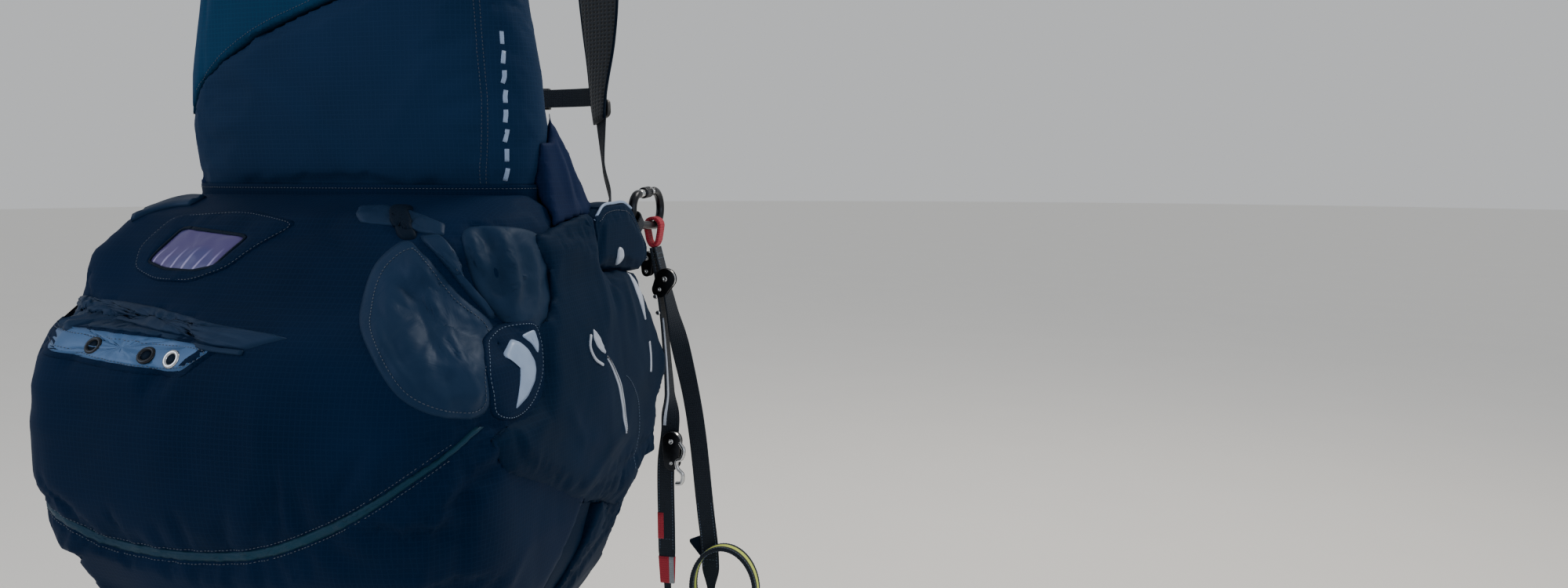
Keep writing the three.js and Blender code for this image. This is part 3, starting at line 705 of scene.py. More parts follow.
seat_channels = [(180, [(-165, z), (165, z)]) for z in (-430, -360, -290, -220, -150)]
seat_pad = soft_copy("seat_pad_mesh", "seat_pad", black_mesh, grain=0.005, draw_in=0.003)
swell(seat_pad, seat_channels, pressure=5, cap=0.004, slack=0.05, reach=0.005)
fold(seat_pad, 180, [(-3, 5, line) for _, line in seat_channels])
lay_weave(seat_pad)
belongs(seat_pad, "harness", "seat_pad", slot="black_mesh")

# %% [markdown]
# ## Hips, thighs and wings
# Each side has a padded hip panel that lies over the airbag, a panel beside the thigh below it, a wing
# that fills the waist above it, and a cover over the hang loop. They are made for the wearer's right
# and mirrored.

# %% Hip panel
hip = soft_copy("hip_cloth_right", "hip_panel_right", side_ripstop, grain=0.005, draw_in=-0.001)
swell(hip, [(90, [(-350, -30), (-84, -40)]), (90, [(-55, -297), (-316, -312), (-480, -220)])],
      pressure=4, cap=0.004, slack=0.04)
HIP_LOWER_EDGE = [(-93, -322), (-159, -359), (-316, -312), (-465, -242), (-490, -202), (-447, -189),
                  (-420, -120), (-385, -60), (-352, -24)]
HIP_REAR_EDGE = [(-352, -24), (-372, -60), (-380, -95), (-388, -130), (-390, -160), (-402, -182),
                 (-430, -193), (-470, -192)]
sink_edge(hip, 90, HIP_LOWER_EDGE, 34, 9)
sink_edge(hip, 90, HIP_REAR_EDGE, 30, 7)
fold(hip, 90, [
    (3, 9, [(-180, -250), (-260, -268), (-330, -300)]),
    (-2.5, 8, [(-160, -275), (-230, -290), (-300, -315)]),
    (2.5, 12, [(-230, -30), (-225, -90), (-240, -140)]),
    (-2.5, 9, [(-200, -25), (-192, -80), (-205, -130)]),
    (2.5, 11, [(-150, -45), (-150, -110), (-140, -160)]),
    (2.0, 10, [(-360, -200), (-330, -240), (-250, -262)]),
])
crumple(hip, 80, 2.0, 2.3)
lay_weave(hip)
for piece in both(hip, "harness", "hip_panel_right", slot="navy_fabric"):
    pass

# %% Thigh panel, wing and loop cover
thigh = soft_copy("thigh_cloth_right", "thigh_panel_right", side_ripstop, grain=0.004, draw_in=-0.002)
swell(thigh, [(90, [(-112, -345), (-300, -430)])], pressure=4, cap=0.003, slack=0.04)
crumple(thigh, 60, 1.5, 6.1)
lay_weave(thigh)
for piece in both(thigh, "harness", "thigh_panel_right", slot="navy_fabric"):
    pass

wing = soft_copy("wing_cloth_right", "side_wing_right", wing_ripstop, grain=0.003, draw_in=-0.002)
fold(wing, 90, [(2, 8, [(-290, 110), (-262, 50), (-250, -5)]), (-2, 7, [(-275, 95), (-243, 40), (-228, -5)])])
relax(wing, np.clip((points_of(wing.data)[:, 2] - 0.07) / 0.05, 0, 1), 50)
crumple(wing, 50, 1.5, 4.4)
lay_weave(wing)
for piece in both(wing, "harness", "side_wing_right", slot="navy_fabric"):
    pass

cover = soft_copy("cover_cloth_right", "loop_cover_right", side_ripstop, grain=0.003, draw_in=0.001)
swell(cover, [(90, [(-215, -12), (-131, 3), (-60, -52)])], pressure=3, cap=0.003, slack=0.02)
lay_weave(cover)
for piece in both(cover, "harness", "loop_cover_right", slot="navy_fabric"):
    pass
print("hip panel faces:", len(hip.data.polygons))

# %% [markdown]
# ## Smooth lines
# A few points are enough to draw an outline or a route, if a smooth curve joins them. The centripetal
# curve below never loops or overshoots between uneven points, and it is the one that the solids use.

# %% A smooth line, and one with even steps
def smooth_line(stops, count, closed=False):
    stops = np.array(stops, float)
    if closed:
        stops = np.vstack([stops[-1:], stops, stops[:2]])
    else:
        stops = np.vstack([2 * stops[0] - stops[1], stops, 2 * stops[-1] - stops[-2]])
    spans = len(stops) - 3
    line = []
    for t in np.linspace(0, spans, count + 1):
        k = min(int(t), spans - 1)
        w = t - k
        a, b, c, d = stops[k:k + 4]
        ab, bc, cd = [max(float(np.linalg.norm(q - p)), 1e-4) ** 0.5 for p, q in ((a, b), (b, c), (c, d))]
        leave = ((b - a) / ab - (c - a) / (ab + bc) + (c - b) / bc) * bc
        arrive = ((c - b) / bc - (d - b) / (bc + cd) + (d - c) / cd) * bc
        line.append((2 * w**3 - 3 * w**2 + 1) * b + (w**3 - 2 * w**2 + w) * leave
                    + (3 * w**2 - 2 * w**3) * c + (w**3 - w**2) * arrive)
    return np.array(line[:-1] if closed else line)


def evenly(line, count, closed=False):
    """The line with count even steps along it; a closed line doesn't repeat its first point."""
    line = np.array(line, float)
    if closed:
        line = np.vstack([line, line[:1]])
    far = np.concatenate([[0], np.cumsum(np.linalg.norm(np.diff(line, axis=0), axis=1))])
    at = np.linspace(0, far[-1], count + 1)
    even = np.stack([np.interp(at, far, line[:, k]) for k in range(line.shape[1])], axis=1)
    return even[:-1] if closed else even


def cut_corners(outline, share=0.12, rounds=2):
    """The outline of stiff cloth: straight sides with small round corners."""
    for _ in range(rounds):
        outline = [tuple(np.array(p) + share * (np.array(q) - np.array(p))) if first else
                   tuple(np.array(q) + share * (np.array(p) - np.array(q)))
                   for p, q in zip(outline, outline[1:] + outline[:1]) for first in (True, False)]
    return outline


def length_of(line):
    return float(np.linalg.norm(np.diff(np.array(line, float), axis=0), axis=1).sum())


print("length of the piping line:", round(length_of(smooth_line(PIPING, 60))), "mm")

# %% [markdown]
# ## Laying cloth on the skin
# What is sewn on lies on the cloth below it. Each piece is drawn flat in mm, as seen from one side, and
# every point is then dropped on the skin with a ray, and lifted by the thickness of its own cloth. So
# the piece follows each dent below it, and has folds of its own. Its lower side is hidden in the skin.

# %% Drop points on the skin
def skin_of(*pieces):
    points, faces = [], []
    for piece in pieces:
        start = len(points)
        points += [corner.co.copy() for corner in piece.data.vertices]
        faces += [[start + i for i in face.vertices] for face in piece.data.polygons]
    return BVHTree.FromPolygons(points, faces)


def land(skin, azimuth, u, z):
    """Where a flat point in mm lands on the skin, and the skin's normal there."""
    across, out = side_axes(azimuth)
    level = across * (u / 1000) + np.array([0, 0, z / 1000])
    hit, normal = skin.ray_cast(Vector(level + out), Vector(-out))[:2]
    if hit is None or (hit - Vector(level)).dot(Vector(out)) < 0.1:
        hit, normal = skin.find_nearest(Vector(level + out * 0.5))[:2]  # the ray missed this side
    return hit, normal if normal.dot(Vector(out)) > 0 else -normal


def landed(skin, azimuth, line, step=4, lift=0.4):
    """Points in metres along a flat line in mm, lying on the skin."""
    line = smooth_line(line, 80)
    even = evenly(line, max(2, round(length_of(line) / step)))
    return [hit + normal * lift / 1000 for hit, normal in (land(skin, azimuth, *p) for p in even)]


# %% Join rings of points, and close a mesh round them
def between(low, high, around):
    """The faces between two rings of points, which start at low and at high."""
    return [(low + j, low + (j + 1) % around, high + (j + 1) % around, high + j) for j in range(around)]


def ring_faces(rows, around, start=0):
    starts = [start + r * around for r in range(rows)]
    return [face for low, high in zip(starts, starts[1:]) for face in between(low, high, around)]


def end_faces(rows, around):
    return [tuple(range(around)), tuple(range((rows - 1) * around, rows * around))]


def closed_piece(name, points, faces, finish, weave=None):
    """The faces are turned the right way out; weave has the map's two numbers for each point."""
    made = bmesh.new()
    corners = [made.verts.new(tuple(p)) for p in points]
    for face in faces:
        made.faces.new([corners[i] for i in face])
    made.verts.index_update()
    bmesh.ops.recalc_face_normals(made, faces=made.faces)
    mesh = mesh_from(name, made)
    if weave is not None:
        layer = mesh.uv_layers.new(name="weave")
        layer.data.foreach_set("uv", np.array(weave, float)[corners_of(mesh)].ravel())
    mesh.shade_smooth()
    return link_piece(name, mesh, finish)


# %% A piece sewn on, inside an outline, with or without a hole
GAP = 0.2  # mm between a sewn cloth's rim and the skin


def sewn(name, skin, azimuth, outline, finish, thick=1.5, crown=0.0, hole=None, rings=12, around=96,
         lines=(), uneven=0.0, grain=25, seed=1.0, drape=0):
    """drape is how many times the cloth's points are averaged, so that it bridges a step below it."""
    outer = evenly(outline, around, closed=True)
    inner = evenly(hole, around, closed=True) if hole else np.tile(outer.mean(axis=0), (around, 1))
    shares = np.linspace(0, 1, rings + 1)[0 if hole else 1:]
    rows = len(shares)
    flat = np.vstack([inner + (outer - inner) * t for t in shares])
    t = np.repeat(shares, around)
    rim = np.abs(2 * t - 1) if hole else t
    height = GAP + thick * np.sqrt(np.clip(1 - rim**10, 0, 1)) + crown * (1 - rim**2)
    swirl = [noise.noise(Vector((u / grain, z / grain, seed)))
             + 0.5 * noise.noise(Vector((u, z, seed)) * 2.3 / grain) for u, z in flat]
    height += uneven * (1 - rim**6) * np.array(swirl)
    height += 1000 * lift_of(flat / 1000, lines) * (1 - rim**8)
    drops = [land(skin, azimuth, *p) for p in flat]
    if drape:
        hits = np.array([hit for hit, _ in drops]).reshape(rows, around, 3)
        for _ in range(drape):
            rows_mean = hits.copy()
            rows_mean[1:-1] = (hits[:-2] + hits[2:]) / 2
            hits = (np.roll(hits, 1, axis=1) + np.roll(hits, -1, axis=1)) / 4 + rows_mean / 2
        drops = [(Vector(hit), normal) for hit, (_, normal) in zip(hits.reshape(-1, 3), drops)]
    points = [hit + normal * h / 1000 for (hit, normal), h in zip(drops, height)]
    faces = ring_faces(rows, around)
    sunk = 0.0006

    def ring_under(row):
        start = len(points)
        points.extend(hit - normal * sunk for hit, normal in drops[row * around:(row + 1) * around])
        return start

    low = ring_under(rows - 1)
    faces += between((rows - 1) * around, low, around)
    weave = list(flat) + list(flat[-around:])
    if hole:
        deep = ring_under(0)
        weave += list(flat[:around])
        faces += [((j + 1) % around, j, deep + j, deep + (j + 1) % around) for j in range(around)]
        faces += between(low, deep, around)
    else:
        hit, normal = land(skin, azimuth, *inner[0])
        points += [hit + normal * (thick + crown + GAP) / 1000, hit - normal * 0.004]
        weave += [inner[0], inner[0]]
        faces += [(len(points) - 2, (j + 1) % around, j) for j in range(around)]
        faces += [(len(points) - 1, low + j, low + (j + 1) % around) for j in range(around)]
    return closed_piece(name, points, faces, finish, np.array(weave) / 1000)


# %% A band sewn on along a line
def tape(name, skin, azimuth, line, width, finish, thick=0.8, step=4, section=None):
    """width is a number in mm, or one for each share of the length by a function."""
    line = smooth_line(line, 120)
    count = max(3, round(length_of(line) / step))
    line = evenly(line, count)
    run = np.gradient(line, axis=0)
    run /= np.linalg.norm(run, axis=1, keepdims=True)
    side = np.stack([-run[:, 1], run[:, 0]], axis=1)
    section = section or [(-1, 0), (-0.9, 0.85), (-0.45, 1), (0, 1), (0.45, 1), (0.9, 0.85), (1, 0)]
    below = [(0.9, -0.8), (-0.9, -0.8)]  # across, and how many mm below the skin
    points, weave, far = [], [], 0.0
    for i, (place, out) in enumerate(zip(line, side)):
        far += float(np.linalg.norm(place - line[max(i - 1, 0)]))
        half = (width(i / count) if callable(width) else width) / 2
        for a, height in [(a, GAP + thick * b) for a, b in section] + below:
            hit, normal = land(skin, azimuth, *(place + out * half * a))
            points.append(hit + normal * height / 1000)
            weave.append((far / 1000, half * a / 1000))
    around = len(section) + len(below)
    faces = ring_faces(count + 1, around) + end_faces(count + 1, around)
    return closed_piece(name, points, faces, finish, weave)


# %% Round pieces: a cord or bar along points in metres, and a turned piece
def tube(name, path, radius, finish, closed=False, sides=10):
    """radius in metres is one number, or one for each point."""
    path = [Vector(p) for p in path]
    count = len(path)
    radii = radius if isinstance(radius, list) else [radius] * count
    points, weave, far = [], [], 0.0
    side = (path[1] - path[0]).orthogonal().normalized()
    for i, place in enumerate(path):
        before = path[i - 1] if closed or i else path[0]
        after = path[(i + 1) % count] if closed or i + 1 < count else path[-1]
        run = (after - before).normalized()
        side = (side - run * side.dot(run)).normalized()
        up = run.cross(side)
        far += (place - path[i - 1]).length if i else 0
        for k in range(sides):
            a = 2 * math.pi * k / sides
            points.append(place + (side * math.cos(a) + up * math.sin(a)) * radii[i])
            weave.append((far, radii[i] * a))
    ends = between((count - 1) * sides, 0, sides) if closed else end_faces(count, sides)
    return closed_piece(name, points, ring_faces(count, sides) + ends, finish, weave)


def turned(name, profile, place, axis, finish, sides=24):
    """profile has points of (radius, height) in mm along the axis, from end to end; place is in metres."""
    axis = Vector(axis).normalized()
    side = axis.orthogonal().normalized()
    other = axis.cross(side)
    points = []
    for radius, height in profile:
        for k in range(sides):
            a = 2 * math.pi * k / sides
            out = side * math.cos(a) + other * math.sin(a)
            points.append(Vector(place) + (axis * height + out * radius) / 1000)
    faces = ring_faces(len(profile), sides) + end_faces(len(profile), sides)
    return closed_piece(name, points, faces, finish)


# %% [markdown]
# ## A ledger of seams
# Stitches are the same small thing thousands of times over, so no one draws them: the lines that they
# follow are collected here, one list for each body and thread, and a node tree sews them all at the end.

# %% Collect seam lines
seams = {}


def stitch(path, body="harness", thread="blue", twin=False):
    """Notes a row of stitches along points in metres; twin notes its mirror image too."""
    seams.setdefault((body, thread), []).append([Vector(p) for p in path])
    if twin:
        mirror_image = [Vector((-p[0], p[1], p[2])) for p in path]
        seams.setdefault((body.replace("_right", "_left"), thread), []).append(mirror_image)


# %% [markdown]
# ## Rear of the container and airbag
# A window with a flap round it, a fold of coated cloth over the step on the left, a pale strip with
# three eyelets for the deployment bag's lines, and the piping over the seam.

# %% Window and flap
WINDOW = cut_corners([(-122, -16), (-31, -23), (-49, -51), (-74, -56), (-111, -55), (-138, -49)], 0.08)
FLAP = [(-150, -4), (-60, 2), (16, -8), (-8, -26), (-32, -52), (-70, -66), (-118, -66), (-153, -56),
        (-162, -34)]
rear_skin = skin_of(bag)
flap = sewn("lid_flap_cloth", rear_skin, 0, cut_corners(FLAP), navy_ripstop, thick=1.8,
            hole=WINDOW, rings=8, uneven=1.2, seed=4.0)
belongs(flap, "harness", "lid_flap", slot="navy_fabric")
window = sewn("lid_window_film", rear_skin, 0, WINDOW, window_film, thick=0.8, crown=1.2,
              rings=8, uneven=1.5, grain=18)
belongs(window, "harness", "lid_window", slot="window_film")
window_rim = tape("window_binding", rear_skin, 0, WINDOW + WINDOW[:1], 2.6, hem_binding, thick=1.8)
belongs(window_rim, "harness", slot="black_webbing")
stitch(landed(rear_skin, 0, [(u * 0.97 - 2, z * 0.93 - 3) for u, z in cut_corners(FLAP, 0.15)], lift=2.0),
       thread="dark")
print("flap faces:", len(flap.data.polygons))

# %% Fold over the step, strip and eyelets
FOLD = [(-236, -86), (-190, -84), (-138, -85), (-95, -88), (-44, -94), (5, -100), (60, -105), (78, -108),
        (57, -113), (42, -118), (8, -116), (-40, -110), (-84, -105), (-140, -102), (-190, -100), (-238, -97)]
step_fold = sewn("step_fold_cloth", rear_skin, 0, FOLD, grey_coated, thick=1.0, crown=2.6, rings=10,
                 around=160, uneven=2.6, grain=18, seed=7.0)
belongs(step_fold, "harness", slot="coated_fabric")
PUCKER = [(172, -86), (200, -83), (232, -86), (258, -92), (270, -103), (265, -113), (240, -109), (205, -103),
          (176, -98)]
pucker = sewn("step_fold_end_cloth", rear_skin, -45, cut_corners(PUCKER, 0.2), grey_coated, thick=1.2,
              crown=6.0, rings=12, uneven=5.0, grain=11, seed=9.0)
belongs(pucker, "harness", slot="coated_fabric")
# Painted shadow: a dark coated band along the fold's lower edge stands for the shade under the fold.
FOLD_SHADE_LINE = [(-242, -97), (-190, -103), (-130, -105), (-84, -108), (-40, -113), (8, -119), (40, -121)]
fold_shade_band = tape("step_fold_shade_band", rear_skin, 0, FOLD_SHADE_LINE, 4, dark_coated, thick=1.6)
belongs(fold_shade_band, "harness", slot="black_webbing")

STRIP = [(-192, -105), (10, -117), (-23, -141), (-178, -128), (-190, -125)]
STRIP_BORDER = [(-217, -98), (24, -112), (-20, -147), (-186, -133), (-215, -127)]
border = sewn("strip_border_tape", rear_skin, 0, cut_corners(STRIP_BORDER, 0.1), navy_ripstop, thick=1.0,
              rings=6)
belongs(border, "harness", slot="navy_fabric")
bordered_skin = skin_of(bag, border)
strip = sewn("eyelet_strip_cloth", bordered_skin, 0, cut_corners(STRIP, 0.1), strip_fabric, thick=1.0,
             rings=6)
belongs(strip, "harness", "eyelet_strip", slot="pale_reflective")
STRIP_SEAM = [(-203, -109), (-60, -118), (2, -122), (-25, -136.5), (-183, -122), (-203, -118)]
stitch(landed(bordered_skin, 0, STRIP_SEAM, lift=1.3), thread="dark")
strip_skin = skin_of(bag, border, strip)

EYELET = [(9.2, -1), (9.2, 0.4), (8.6, 1.2), (7.2, 1.7), (5.8, 1.3), (5.2, 0.2), (5.0, -1)]
for count, (u, z, metal) in enumerate([(-129, -121, dark_anodised), (-65, -127, dark_anodised),
                                       (-35, -129, stainless)]):
    hit, normal = land(strip_skin, 0, u, z)
    ring = turned(f"eyelet_{count + 1}", EYELET, hit, normal, metal)
    belongs(ring, "harness", slot="steel")
    # Painted shade: a dark disc fills each eyelet's hole and stands for the shade inside it.
    dark = turned(f"eyelet_hole_{count + 1}", [(5.4, -1), (5.4, 0.25), (0.4, 0.25)], hit, normal, hem_binding)
    belongs(dark, "harness", slot="black_webbing")

# %% Piping over the rear seam
def piping_width(share):
    return 2 * min(4.5, 2 + 0.9 * 11 * (1 - share))


piping = tape("airbag_piping_tape", rear_skin, 0, PIPING, piping_width, teal_tape, thick=2.4,
              section=[(-1, 0), (-0.7, 0.75), (-0.3, 1), (0.3, 1), (0.7, 0.75), (1, 0)])
belongs(piping, "harness", "airbag_piping", slot="coated_fabric")
for shift in (-7, 7):
    stitch(landed(rear_skin, 0, [(x, z + shift) for x, z in PIPING[:-1]]), thread="dark")

# %% [markdown]
# ## Scoop, pouch and patch
# On the right corner a scoop of grey coated cloth lets air into the airbag. It is a stiff petal, sewn
# down round its edge, and worn into soft wrinkles with lighter ridges. A darker pouch lies beside it with
# upright folds, and a round patch covers the point where they meet.

# %% Scoop petal
PETAL = [(-213, -24), (-242, -42), (-262, -77), (-269, -102), (-250, -153), (-212, -175), (-172, -178),
         (-166, -147), (-148, -108), (-179, -72), (-205, -35)]
PETAL_FOLDS = [
    (3.0, 9, [(-218, -28), (-206, -58), (-201, -86), (-195, -113), (-186, -144), (-181, -172)]),
    (-2.0, 7, [(-228, -44), (-218, -80), (-214, -120), (-204, -160)]),
    (2.0, 6, [(-258, -84), (-256, -110), (-244, -138), (-228, -158)]),
    (-1.8, 5, [(-250, -80), (-248, -108), (-238, -132)]),
    (1.6, 5, [(-236, -60), (-244, -80), (-246, -98)]),
    (1.6, 6, [(-172, -84), (-164, -106), (-172, -130)]),
]
corner_skin = skin_of(bag)
petal = sewn("scoop_petal_cloth", corner_skin, 45, smooth_line(PETAL, 88, closed=True), grey_coated,
             thick=2.0, crown=2.5, rings=26, around=150, lines=PETAL_FOLDS, uneven=2.2, grain=20, seed=2.0)
belongs(petal, "harness", "scoop_petal", slot="coated_fabric")
petal_line = list(smooth_line(PETAL, 44, closed=True))
middle = np.array((-210, -105))
seam_inset = 7  # mm from the petal's edge to its seam
rimmed = [tuple(np.array(p) + seam_inset * (middle - p) / np.linalg.norm(middle - p)) for p in petal_line]
stitch(landed(skin_of(petal), 45, rimmed + rimmed[:1], lift=0.4), thread="dark")

# %% Companion band and pouch
BAND = [(-205, -20), (-186, -17), (-176, -36), (-171, -62), (-152, -88), (-143, -98), (-150, -99),
        (-170, -74), (-184, -52)]
companion = sewn("scoop_band_cloth", corner_skin, 45, cut_corners(BAND, 0.15), grey_coated, thick=3.0,
                 crown=2.0, rings=10, uneven=1.6, grain=14, seed=3.0)
belongs(companion, "harness", slot="coated_fabric")
POUCH = [(-165, -16), (-126, -12), (-78, -26), (-54, -72), (-68, -112), (-122, -114), (-137, -103),
         (-160, -73), (-167, -41)]
POUCH_FOLDS = [
    (3.5, 8, [(-162, -18), (-157, -40), (-147, -58)]),
    (-3.0, 8, [(-152, -18), (-146, -44), (-136, -66)]),
    (3.5, 8, [(-131, -17), (-127, -42), (-124, -68), (-126, -90)]),
    (-3.0, 9, [(-141, -22), (-138, -52), (-134, -84)]),
    (-3.0, 8, [(-119, -20), (-113, -48), (-112, -78), (-116, -98)]),
    (2.5, 8, [(-104, -26), (-98, -52), (-98, -80), (-106, -98)]),
    (2.5, 7, [(-158, -74), (-138, -98), (-118, -106), (-92, -98)]),
]
pouch = sewn("scoop_pouch_cloth", corner_skin, 45, smooth_line(POUCH, 72, closed=True), dark_coated,
             thick=2.5, crown=4.0, rings=26, around=130, lines=POUCH_FOLDS, uneven=1.8, grain=22, seed=5.0)
belongs(pouch, "harness", "scoop_pouch", slot="navy_fabric")
print("scoop and pouch faces:", len(petal.data.polygons), len(pouch.data.polygons))

# %% Patch
PATCH = [(-455, -112), (-476, -128), (-487, -143), (-487, -162), (-482, -182), (-462, -191), (-434, -190),
         (-408, -178), (-391, -160), (-384, -140), (-382, -120), (-390, -107), (-424, -103)]
patch_line = [tuple(p) for p in smooth_line(PATCH, 78, closed=True)]
patch = sewn("side_patch_cloth", skin_of(bag, hip, petal, pouch), 90, patch_line, navy_ripstop, thick=3.2,
             rings=22, around=120, drape=8)
belongs(patch, "harness", "side_patch", slot="navy_fabric")
patch_skin = skin_of(patch)
CRESCENT = [(-435, -117), (-424, -122), (-413, -131), (-406, -143), (-406, -152), (-411, -162), (-428, -174),
            (-452, -182), (-445, -169), (-440, -158), (-437, -149), (-435, -141), (-454, -131)]
crescent = sewn("patch_crescent", patch_skin, 90, cut_corners(CRESCENT, 0.12), pale_patch, thick=0.5, rings=6)
belongs(crescent, "harness", slot="pale_reflective")
WEDGE = [(-420, -116), (-396, -113), (-391, -127), (-397, -138), (-405, -126)]
wedge = sewn("patch_wedge", patch_skin, 90, cut_corners(WEDGE, 0.06), pale_patch, thick=1.0, rings=6,
             around=48, drape=4)
belongs(wedge, "harness", slot="pale_reflective")
middle = np.mean(PATCH, axis=0)
stitch(landed(patch_skin, 90, [tuple(middle + 0.93 * (np.array(p) - middle)) for p in patch_line], lift=0.4))

# %% [markdown]
# ## Junction, waist and marks
# Where the back shell meets the container, a strap of coated cloth lies under a slanted tab, and a
# waist band closes the slit between the two. Down the shell's right corner runs a row of pale marks.

# %% Junction strap and tab
JUNCTION = [(62, 7), (80, 8), (108, 5), (140, -1), (170, -9), (176, -20), (148, -17), (118, -11), (84, -8)]
junction = sewn("junction_cloth", rear_skin, 0, cut_corners(JUNCTION, 0.05), grey_coated, thick=2.0,
                crown=0.6, rings=10, uneven=3.0, grain=16, seed=8.0)
belongs(junction, "harness", "junction_strap", slot="coated_fabric")
TAB = [(97, 8), (117, 8), (134, -5), (152, -23), (133, -24), (114, -6)]
tab = sewn("junction_tab_cloth", skin_of(bag, junction), 0, cut_corners(TAB, 0.2), hem_binding, thick=3.0,
           crown=1.0, rings=8)
belongs(tab, "harness", slot="black_webbing")

# %% Flap at the container's left corner
lump = tape("corner_flap_cloth", rear_skin, 0, [(-206, -6), (-192, 3), (-172, 8), (-150, 9)],
            lambda t: 15 - 6 * t, grey_coated, thick=5.0,
            section=[(-1, 0), (-0.8, 0.7), (-0.3, 1), (0.2, 0.6), (0.7, 0.9), (1, 0)])
belongs(lump, "harness", slot="coated_fabric")

# %% Strap frames, and a band of webbing along them
RIBBON = [(1, 0), (0.985, 0.6), (0.94, 0.95), (0.85, 1), (0.42, 1), (0, 1), (-0.42, 1), (-0.85, 1),
          (-0.94, 0.95), (-0.985, 0.6), (-1, 0)]
PADDED = [(1, 0), (0.97, 0.35), (0.9, 0.62), (0.7, 0.85), (0.4, 0.97), (0, 1), (-0.4, 0.97), (-0.7, 0.85),
          (-0.9, 0.62), (-0.97, 0.35), (-1, 0)]


def frames_of(path, sides):
    """Each point of the path in mm with its run, its width's direction and its face's direction."""
    frames = []
    last = len(path) - 1
    for i, (at, side) in enumerate(zip(path, sides)):
        run = path[min(i + 1, last)] - path[max(i - 1, 0)]
        run = run / np.linalg.norm(run)
        across = side - side.dot(run) * run
        across = across / np.linalg.norm(across)
        frames.append((at, run, across, np.cross(run, across)))
    return frames


def strap_frames(stops, steps):
    path = smooth_line([at for at, _ in stops], steps)
    sides = smooth_line([np.array(side, float) * 100 / np.linalg.norm(side) for _, side in stops], steps)
    return frames_of(path, sides)


def band(name, frames, width, thick, finish, shape=RIBBON, shift=0.0, lift=0.0):
    """width, thick and lift in mm; width and lift may be functions of the share of the length."""
    whole = shape + [(a, -b) for a, b in reversed(shape[1:-1])]
    points, weave, far = [], [], 0.0
    last = len(frames) - 1
    for i, (at, _, across, face) in enumerate(frames):
        half = (width(i / last) if callable(width) else width) / 2
        far += float(np.linalg.norm(at - frames[max(i - 1, 0)][0]))
        for a, b in whole:
            rise = lift(i / last) if callable(lift) else lift
            points.append((at + across * (shift + a * half) + face * (rise + b * thick / 2)) / 1000)
            weave.append((far / 1000, a * half / 1000))
    faces = ring_faces(len(frames), len(whole)) + end_faces(len(frames), len(whole))
    return closed_piece(name, points, faces, finish, weave)


def along(frames, shift=0.0, lift=0.0, start=0.0, end=1.0):
    """A line of points in metres on a strap, for a row of stitches."""
    last = len(frames) - 1
    return [(at + across * shift + face * lift) / 1000
            for at, _, across, face in frames[round(start * last):round(end * last) + 1]]


# %% Waist band
def shell_ring(half, thick, middle, z, steps=80):
    ring = []
    for i in range(steps + 1):
        a = math.radians(172 + 196 * i / steps)
        c, s = math.cos(a), math.sin(a)
        ring.append((half * math.copysign(abs(c) ** 0.625, c),
                     thick * math.copysign(abs(s) ** 0.625, s) - middle, z))
    return np.array(ring)


waist_low = shell_ring(202, 60, 294, -16)
waist_high = shell_ring(205.8, 60.2, 295, 27)
waist_frames = frames_of((waist_low + waist_high) / 2, waist_high - waist_low)
waist = band("waist_band_cloth", waist_frames, 44, 2.0, navy_ripstop)
belongs(waist, "harness", slot="navy_fabric")
stitch(along(waist_frames, shift=18, lift=1.2), thread="dark")

# %% Gussets beside the thighs
gusset_line = smooth_line([(238, -276, -316), (231, -284, -350), (224, -292, -385), (206, -303, -425),
                           (184, -310, -460), (160, -312, -488)], 40)
gusset_frames = frames_of(gusset_line, np.tile([0, 1.0, 0], (41, 1)))
gusset = band("thigh_gusset_right", gusset_frames, 70, 6, side_ripstop, shape=PADDED)
both(gusset, slot="navy_fabric")

# %% Marks and seams of the shell
shell_skin = skin_of(shell, yoke)
marks = [tape(f"mark_{k}", shell_skin, 45, [(-102 + k % 2, z + 6.5), (-102, z), (-102 - k % 3, z - 6.5)], 4.5,
              pale_patch, thick=0.5, step=3) for k, z in enumerate(range(178, 20, -20))]
corner_marks = joined("corner_marks", marks)
belongs(corner_marks, "harness", slot="pale_reflective")
for x in (178, 184):
    shell_seam = [(x * share, z) for share, z in ((0.92, 30), (0.95, 100), (0.92, 190), (0.87, 290))]
    stitch(landed(shell_skin, 0, shell_seam), thread="dark")
stitch(landed(shell_skin, 0, [(-186, 132), (-140, 168), (-92, 194), (-38, 214), (60, 247), (172, 281)]),
       thread="dark")

# %% [markdown]
# ## Zips, piping and marks of the sides
# A zip curves over the hip panel under a pale cover tape, with a row of stitches in front of it. The
# loop cover has a reflective piping along its top, and a small oval badge left bare.

# %% Side details
side_skin = skin_of(bag, hip, cover, wing, thigh)
HIP_ZIP = [(-256, -164), (-241, -177), (-224, -199), (-214, -224), (-210, -244), (-211, -260)]
zip_tape = tape("hip_zip_tape_right", side_skin, 90, HIP_ZIP,
                lambda t: 4 + 6 * min(1, 2 * t) * min(1, 5 * (1.05 - t)), silver_tape, thick=1.0)
both(zip_tape, slot="pale_reflective")
PULL = [(-281, -128), (-271, -138), (-263, -151), (-258, -160), (-268, -156), (-279, -148), (-284, -139)]
zip_pull = sewn("hip_zip_pull_right", side_skin, 90, cut_corners(PULL), silver_tape, thick=1.0, crown=0.6,
                rings=6, around=48, uneven=1.5, grain=9)
both(zip_pull, slot="pale_reflective")
for name, width, thick, line in (
        ("hip_zip_pull_rim_right", 3, 1.4, [(-290, -134), (-296, -146), (-288, -160), (-270, -170)]),
        ("hip_front_piping_right", lambda t: 4 + 13 * math.sin(math.pi * min(1, t + 0.05)), 1.0,
         [(-119, -85), (-110, -101), (-103, -121), (-100, -143)]),
        ("knee_piping_right", 6, 0.8, [(-92, -172), (-90, -190), (-94, -210)])):
    both(tape(name, side_skin, 90, line, width, silver_tape, thick=thick), slot="pale_reflective")
cover_rim = smooth_line([(232, -213, -15), (233, -203, -6), (233, -190, 1.2), (233, -160, 3.2),
                         (233, -131, 3.2), (233, -108, -5)], 60)
